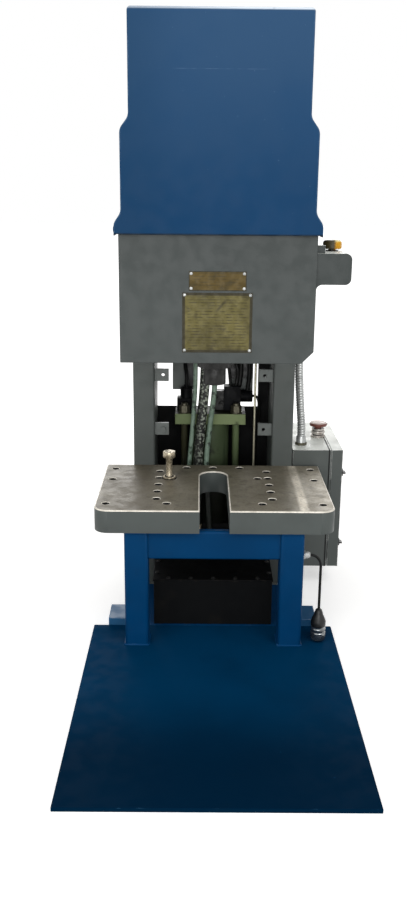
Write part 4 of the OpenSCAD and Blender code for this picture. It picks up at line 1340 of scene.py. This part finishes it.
@dataclass
class Hydraulics:
    """Tank, booster, valves and wiring duct behind the table."""

    cast_round_mm: float = 3.0
    sheet_round_mm: float = 1.0
    rod_round_mm: float = 1.2
    valve_round_mm: float = 2.0
    box_round_mm: float = 1.5
    fitting_round_mm: float = 0.8
    tube_round_mm: float = 0.4
    cover_wide_mm: float = 38.0
    cover_deep_mm: float = 9.0
    cover_high_mm: float = 190.0
    cover_foot_mm: float = 6.0
    foot_wide_mm: float = 40.0
    foot_high_mm: float = 74.0
    foot_inset_mm: float = 6.0
    union_across_mm: float = 19.0
    union_high_mm: float = 11.0
    hose_y_mm: float = 199.0
    hose_step_mm: float = 8.0
    lead_step_mm: float = 10.0

    def build(self) -> None:
        """Dresses the hydraulics."""
        soften(DARK_PAINT, self.sheet_round_mm, "oil_tank", "tank_lid", "wire_duct")
        soften(DARK_PAINT, self.cast_round_mm, "booster_base")
        soften(BARREL_GREEN, self.sheet_round_mm, "booster_barrel")
        soften(GREEN, self.cast_round_mm, "booster_end_plate")
        self.tie_rods()
        soften(VALVE_BLACK, self.valve_round_mm, "left_valve", "right_valve")
        soften(LUG_GRAY, self.box_round_mm, "valve_box", "lead_box")
        soften(PIN_STEEL, self.fitting_round_mm, "hose_fittings")
        soften(PANEL_ZINC, self.tube_round_mm, "return_tube")
        self.hoses()
        self.leads()
        self.covers()
        self.valve_foot()

    def tie_rods(self) -> None:
        """Makes the green tie rods, bare where their nuts stand on the end plate."""
        bm = rounded("booster_tie_rods", self.rod_round_mm)
        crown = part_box("booster_end_plate")[1].z
        mark_faces(bm, lambda middle: middle.z > crown)
        stand_in("booster_tie_rods", bm, ROD_GREEN, more=[NUT_STEEL])

    def leads(self) -> None:
        """Makes the black leads that hang between the head, the valves and the duct."""
        runs = (
            (6.0, [(40, 320, 946), (42, 318, 880), (58, 315, 800), (66, 314, 730)]),
            (9.0, [(64, 324, 946), (68, 324, 860), (92, 320, 790), (84, 314, 730)]),
            (5.0, [(148, 314, 695), (166, 312, 690), (176, 318, 640), (172, 336, 560)]),
            (7.0, [(-99, 314, 730), (-99, 312, 770), (-104, 330, 800), (-106, 346, 820)]),
            (9.0, [(96, 322, 946), (98, 322, 890), (104, 320, 800), (98, 316, 730)]),
            (8.0, [(124, 322, 946), (130, 322, 880), (136, 320, 780), (128, 314, 712)]),
        )
        bm = bmesh.new()
        for radius, stations in runs:
            path = smooth_path(stations, self.lead_step_mm)
            swept(bm, path, [radius], 14, Facing.BACK)
        place("valve_leads", bm, RUBBER)

    def covers(self) -> None:
        """Makes the black terminal covers of the valve box and the lead box."""
        bm = bmesh.new()
        low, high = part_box("valve_box")
        near = low.y - self.cover_deep_mm * MM
        side, foot = high.x - self.cover_wide_mm * MM, low.z + self.cover_foot_mm * MM
        slab(bm, (side, near, foot), (high.x, low.y, high.z), self.box_round_mm)
        low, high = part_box("lead_box")
        foot = high.z - self.cover_high_mm * MM
        slab(bm, (low.x, near, foot), (high.x, low.y, high.z), self.box_round_mm)
        place("terminal_covers", bm, BLACK_PLASTIC)

    def valve_foot(self) -> None:
        """Makes the dark manifold beside the right valve, with its two unions."""
        low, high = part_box("right_valve")
        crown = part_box("booster_end_plate")[1].z
        bm = bmesh.new()
        left, inset = low.x - self.foot_wide_mm * MM, self.foot_inset_mm * MM
        top = crown + self.foot_high_mm * MM
        front = low.y + inset
        slab(bm, (left, front, crown), (low.x, high.y - inset, top), self.valve_round_mm)
        for along, rise in ((13.0, 48.0), (30.0, 26.0)):
            at = spot((left + along * MM, front, crown + rise * MM), Facing.FRONT)
            high_mm = self.union_high_mm
            hexagon(bm, self.union_across_mm, high_mm, at)
            turned(bm, [(0, high_mm), (6, high_mm), (6, 19), (4.8, 20), (0, 20)], at, 20)
        place("valve_manifold", bm, DARK_STEEL)

    def hoses(self) -> None:
        """Makes the pressure hose and the oil line on each side of it."""
        hose = [(-28, 921), (-28, 896), (-28, 853.7), (-34, 730.7), (-46, 592.3), (-55, 469.2)]
        hose += [(-58, 330.8), (-58, 227), (-58, 202)]
        left = [(-65, 936), (-65, 926), (-65, 853.7), (-67, 730.7), (-76, 592.3), (-86, 469.2)]
        left += [(-98, 330.8), (-104, 217), (-104, 202), (-104, 187)]
        right = [(10, 936), (10, 921), (10, 906), (9, 853.7), (2, 730.7), (-13, 592.3)]
        right += [(-23, 469.2), (-17, 330.8), (-10, 217), (-10, 202), (-10, 187)]
        lines, bm = bmesh.new(), bmesh.new()
        for target, run, radius in ((bm, hose, 18.0), (lines, left, 8.0), (lines, right, 9.5)):
            path = smooth_path([(x, self.hose_y_mm, z) for x, z in run], self.hose_step_mm)
            swept(target, path, [radius], 24, Facing.BACK)
        stand_in("pressure_hose", bm, FLAKED)
        stand_in("oil_lines", lines, GREEN_LINE)


@dataclass
class Fasteners:
    """Hexagon screws of the hood, head, rear panel, tank lid and control arm."""

    washer_mm: float = 9.5
    across_mm: float = 13.0
    height_mm: float = 5.5
    inset_mm: float = 12.0
    skirt_mm: float = 26.0
    skirt_sides_mm: Row = (-300, -130, 40, 210, 340)
    skirt_back_mm: Row = (-240, -80, 80, 240)
    head_across_mm: Row = (-235, -80, 80, 235)
    head_rows_mm: Row = (40, 300)
    panel_shares: Row = (0.03, 0.27, 0.5, 0.73, 0.97)
    lid_front_mm: Row = (-150, -75, 0, 75, 150)
    lid_ends_mm: Row = (-150, -50, 50, 150)
    arm_inset_mm: float = 40.0

    def group(
        self,
        name: str,
        finish: Finish,
        spots: Iterable[tuple[Point, Facing]],
        scale: float = 1.0,
    ) -> None:
        """Makes one piece of screws on their washers.

        Args:
            name: the piece's name.
            finish: the finish it wears.
            spots: where each washer meets the surface, and the way its screw points.
            scale: the screws' size against the usual one.
        """
        bm = bmesh.new()
        rim = self.washer_mm * scale
        washer = [(0, 0), (rim, 0), (rim, 1.0), (rim - 0.5, WASHER_MM), (0, WASHER_MM)]
        for point, facing in spots:
            where = spot(point, facing)
            turned(bm, washer, where, 24)
            lift = where @ Matrix.Translation((0, 0, WASHER_MM * MM))
            hexagon(bm, self.across_mm * scale, self.height_mm * scale, lift)
        place(name, bm, finish)

    def build(self) -> None:
        """Makes the screws, one piece for each finish."""
        low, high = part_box("hood")
        z = low.z + self.skirt_mm * MM
        sides = ((high.x, Facing.RIGHT), (low.x, Facing.LEFT))
        spots = [((x, y * MM, z), facing) for y in self.skirt_sides_mm for x, facing in sides]
        spots += [((x * MM, high.y, z), Facing.BACK) for x in self.skirt_back_mm]
        self.group("hood_screws", HOOD_BLUE, spots)
        low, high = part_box("head_back_plate")
        rows = [low.z + z * MM for z in self.head_rows_mm]
        spots = [((x * MM, high.y, z), Facing.BACK) for x in self.head_across_mm for z in rows]
        self.group("head_back_bolts", HEAD_GRAY, spots, scale=1.5)
        inset = self.inset_mm * MM
        low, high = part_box("rear_panel")
        rows = [low.z + (high.z - low.z) * share for share in self.panel_shares]
        ends = (low.x + inset, high.x - inset)
        spots = [((x, high.y, z), Facing.BACK) for x in ends for z in rows]
        self.group("rear_panel_screws", NUT_STEEL, spots, scale=0.8)
        low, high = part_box("tank_lid")
        ends = (low.x + inset, high.x - inset)
        spots = [((x * MM, low.y + inset, high.z), Facing.UP) for x in self.lid_front_mm]
        spots += [((x, y * MM, high.z), Facing.UP) for y in self.lid_ends_mm for x in ends]
        self.group("tank_lid_screws", DARK_STEEL, spots, scale=0.8)
        low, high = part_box("control_arm")
        inset, z = self.arm_inset_mm * MM, (low.z + high.z) / 2
        spots = [((high.x, y, z), Facing.RIGHT) for y in (low.y + inset, high.y - inset)]
        self.group("control_arm_screws", GALVANISED, spots, scale=0.6)


@dataclass
class Welds:
    """Rippled fillet welds at the feet of the columns and legs and under the head."""

    step_mm: float = 4.0
    ripple_mm: Row = (4.0, 4.8, 4.3, 5.0, 4.5)

    def build(self) -> None:
        """Makes the welds, one piece for each paint."""
        columns, legs = bmesh.new(), bmesh.new()
        for node in ("left_column", "right_column"):
            low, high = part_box(node)
            outer = max(low.x, high.x, key=abs)
            for z in (low.z, high.z):
                self.bead(columns, (outer, low.y, z), (outer, high.y, z))
                self.bead(columns, (low.x, low.y, z), (high.x, low.y, z))
        for node in ("left_front_leg", "right_front_leg"):
            low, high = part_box(node)
            for x in (low.x, high.x):
                self.bead(legs, (x, low.y, low.z), (x, high.y, low.z))
            for y in (low.y, high.y):
                self.bead(legs, (low.x, y, low.z), (high.x, y, low.z))
        place("column_welds", columns, GRAY)
        place("leg_welds", legs, STAND_BLUE)

    def bead(self, bm: BMesh, start: Point, end: Point) -> None:
        """Adds one weld bead.

        Args:
            bm: the bmesh that takes it.
            start: one end of the joint.
            end: the other end.
        """
        start, end = Vector(start), Vector(end)
        count = max(2, round((end - start).length / (self.step_mm * MM)))
        path = [start.lerp(end, i / count) for i in range(count + 1)]
        swept(bm, path, self.ripple_mm, 10, Facing.UP)


@dataclass
class FootCord:
    """Pigtail cord with its gland and hanging connector."""

    diameter_mm: float = 9.0
    bend_mm: float = 36.0
    sink_mm: float = 10.0
    bend_points: int = 14
    drop_points: int = 12
    shell_mm: float = 46.0
    gland_round_mm: float = 0.7

    def build(self) -> None:
        soften(GALVANISED, self.gland_round_mm, "cord_gland")
        low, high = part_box("cord_gland")
        exit_point = Vector((high.x, (low.y + high.y) / 2, (low.z + high.z) / 2))
        connector = self.connector()
        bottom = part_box("cord_connector")[1].z - self.sink_mm * MM
        points = self.route(exit_point, bottom)
        curve = bpy.data.curves.new("pigtail_cord_line", "CURVE")
        curve.dimensions = "3D"
        curve.bevel_depth = self.diameter_mm / 2 * MM
        curve.bevel_resolution = 5
        curve.use_fill_caps = True
        spline = curve.splines.new("POLY")
        spline.points.add(len(points) - 1)
        for knot, point in zip(spline.points, points):
            knot.co = (*point, 1.0)
        spline.use_smooth = True
        cord = bpy.data.objects.new("pigtail_cord_dressed", curve)
        bpy.context.scene.collection.objects.link(cord)
        curve.materials.append(material_of(RUBBER))
        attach(cord, Body.FRAME.value)
        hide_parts("pigtail_cord")

    def route(self, exit_point: Vector, bottom: float) -> list[Vector]:
        """Lays the cord out of the gland, round its bend and straight down.

        Args:
            exit_point: where it leaves the gland.
            bottom: height of its end inside the connector.

        Returns:
            Points of its centre line.
        """
        bend, count = self.bend_mm * MM, self.drop_points
        arc = [math.radians(90) * i / self.bend_points for i in range(self.bend_points + 1)]
        points = [
            exit_point + Vector((bend * math.sin(a), 0, -bend * (1 - math.cos(a)))) for a in arc
        ]
        turn = points[-1]
        end = Vector((turn.x, turn.y, bottom))
        return points + [turn.lerp(end, i / count) for i in range(1, count + 1)]

    def connector(self) -> Object:
        """Makes the round connector body with its grip rings.

        Returns:
            The connector.
        """
        foot, top = standing("cord_connector")
        shell = [(0, 6), (19, 6), (21, 0), (24, 0), (25, 2), (25, 24), (23.4, 26), (23.4, 32)]
        grip = [(24.6, 34), (24.6, 38), (23.4, 40), (23.4, 46), (24.6, 48), (24.6, 62)]
        neck = [(19, 78), (15, 86), (14, top - 14), (10, top - 2), (6, top), (0, top)]
        bm = bmesh.new()
        turned(bm, shell + grip + neck, foot, 40)
        rim = foot.translation.z + self.shell_mm * MM
        mark_faces(bm, lambda middle: middle.z < rim)
        return stand_in("cord_connector", bm, BLACK_PLASTIC, more=[SHELL_STEEL])


@dataclass
class Studio:
    """Pale floor that runs out to white, an even sky, soft lamps and the camera."""

    floor_colour: str = "#f3f2f0"
    floor_shade: str = "#efeeec"
    floor_half: float = 30.0
    floor_roughness: float = 0.9
    glow: float = 0.5
    glow_from: float = 1.6
    glow_to: float = 5.0
    sky: float = 0.35
    camera_at: tuple[float, float, float] = (-0.0498, -3.0977, 1.469)
    focal_px: float = 929.9
    pitch_deg: float = 16.14
    yaw_deg: float = -0.27
    roll_deg: float = -0.52

    def build(self) -> None:
        """Sets the floor, the light and the camera."""
        self.floor()
        self.light()
        self.camera()

    def seen(self, tree: ShaderNodeTree) -> NodeSocket:
        """Makes a mask of the rays that show the background, straight or in a reflection.

        Args:
            tree: node tree that takes the mask.

        Returns:
            A socket that is 1 for those rays.
        """
        path = add_node(tree, "ShaderNodeLightPath").outputs
        mask = path["Is Camera Ray"]
        for kind in ("Is Glossy Ray", "Is Transmission Ray"):
            either = {0: mask, 1: path[kind]}
            mask = add_node(tree, "ShaderNodeMath", either, operation="MAXIMUM").outputs[0]
        return mask

    def floor(self) -> None:
        """Makes the floor, which glows more with distance until it is the sky's white."""
        bm = bmesh.new()
        bmesh.ops.create_grid(bm, x_segments=1, y_segments=1, size=self.floor_half)
        mesh = bpy.data.meshes.new("studio_floor")
        bm.to_mesh(mesh)
        bm.free()
        floor = bpy.data.objects.new("studio_floor", mesh)
        bpy.context.scene.collection.objects.link(floor)
        s = Surface("studio_paper", self.floor_colour, 0.0)
        s.lay(s.patches(900, 0.4, 0.6, 0.3), self.floor_shade)
        mesh.materials.append(s.finish(self.floor_roughness))
        away = add_node(s.tree, "ShaderNodeVectorMath", {0: s.coords}, operation="LENGTH")
        fade = s.ramp(away.outputs["Value"], self.glow_from, self.glow_to, self.glow, 1.0)
        strength = s.shader.inputs["Emission Strength"]
        s.tree.links.new(s.both(self.seen(s.tree), fade), strength)
        s.shader.inputs["Emission Color"].default_value = linear(WHITE)

    def light(self) -> None:
        """Sets an even sky and four soft lamps."""
        world = bpy.data.worlds.new("studio_sky")
        bpy.context.scene.world = world
        world.use_nodes = True
        tree = world.node_tree
        tree.nodes.clear()
        dim, full = (
            add_node(tree, "ShaderNodeBackground", {"Color": linear(WHITE), "Strength": strength})
            for strength in (self.sky, 1.0)
        )
        layers = {0: self.seen(tree), 1: dim.outputs[0], 2: full.outputs[0]}
        mixed = add_node(tree, "ShaderNodeMixShader", layers)
        add_node(tree, "ShaderNodeOutputWorld", {"Surface": mixed.outputs[0]})
        for name, at, aim, wide, high, watts in (
            ("left_lamp", (-1.8, -2.6, 3.6), (0.0, 0.0, 0.9), 2.0, 2.0, 46.0),
            ("right_lamp", (1.8, -2.6, 3.6), (0.0, 0.0, 0.9), 2.0, 2.0, 50.0),
            ("front_lamp", (0.0, -4.6, 1.1), (0.0, 0.0, 0.5), 3.0, 1.6, 58.0),
            ("back_lamp", (0.0, 3.4, 1.7), (0.0, 0.0, 0.9), 4.0, 1.6, 60.0),
        ):
            lamp = bpy.data.lights.new(name, "AREA")
            lamp.shape = "RECTANGLE"
            lamp.size, lamp.size_y, lamp.energy = wide, high, watts
            holder = bpy.data.objects.new(name, lamp)
            holder.location = at
            holder.rotation_euler = (Vector(aim) - Vector(at)).to_track_quat("-Z", "Y").to_euler()
            holder.visible_camera = False
            bpy.context.scene.collection.objects.link(holder)

    def camera(self) -> None:
        """Sets the camera where the photograph was taken from."""
        pitch, yaw, roll = (
            math.radians(a) for a in (self.pitch_deg, self.yaw_deg, self.roll_deg)
        )
        level = math.cos(pitch)
        ahead = Vector((-math.sin(yaw) * level, math.cos(yaw) * level, -math.sin(pitch)))
        right = Vector((math.cos(yaw), math.sin(yaw), 0.0))
        down = ahead.cross(right)
        across = right * math.cos(roll) + down * math.sin(roll)
        drop = -right * math.sin(roll) + down * math.cos(roll)
        lens = bpy.data.cameras.new("photo_camera")
        lens.sensor_width = SENSOR_MM
        lens.lens = self.focal_px * SENSOR_MM / PHOTO_HEIGHT
        camera = bpy.data.objects.new("photo_camera", lens)
        axes = Matrix((across, -drop, -ahead)).transposed().to_4x4()
        camera.matrix_world = Matrix.Translation(self.camera_at) @ axes
        bpy.context.scene.collection.objects.link(camera)
        bpy.context.scene.camera = camera


def main() -> None:
    """Builds the pieces in order."""
    logging.basicConfig(level=logging.INFO, format="%(name)s: %(message)s")
    bpy.context.scene.view_settings.view_transform = "Standard"
    for assembly in (
        Studio(),
        FootCord(),
        Stand(),
        WorkTable(),
        PressFrame(),
        Nameplates(),
        Controls(),
        Hydraulics(),
        Fasteners(),
        Welds(),
    ):
        assembly.build()


if __name__ == "__main__":
    main()
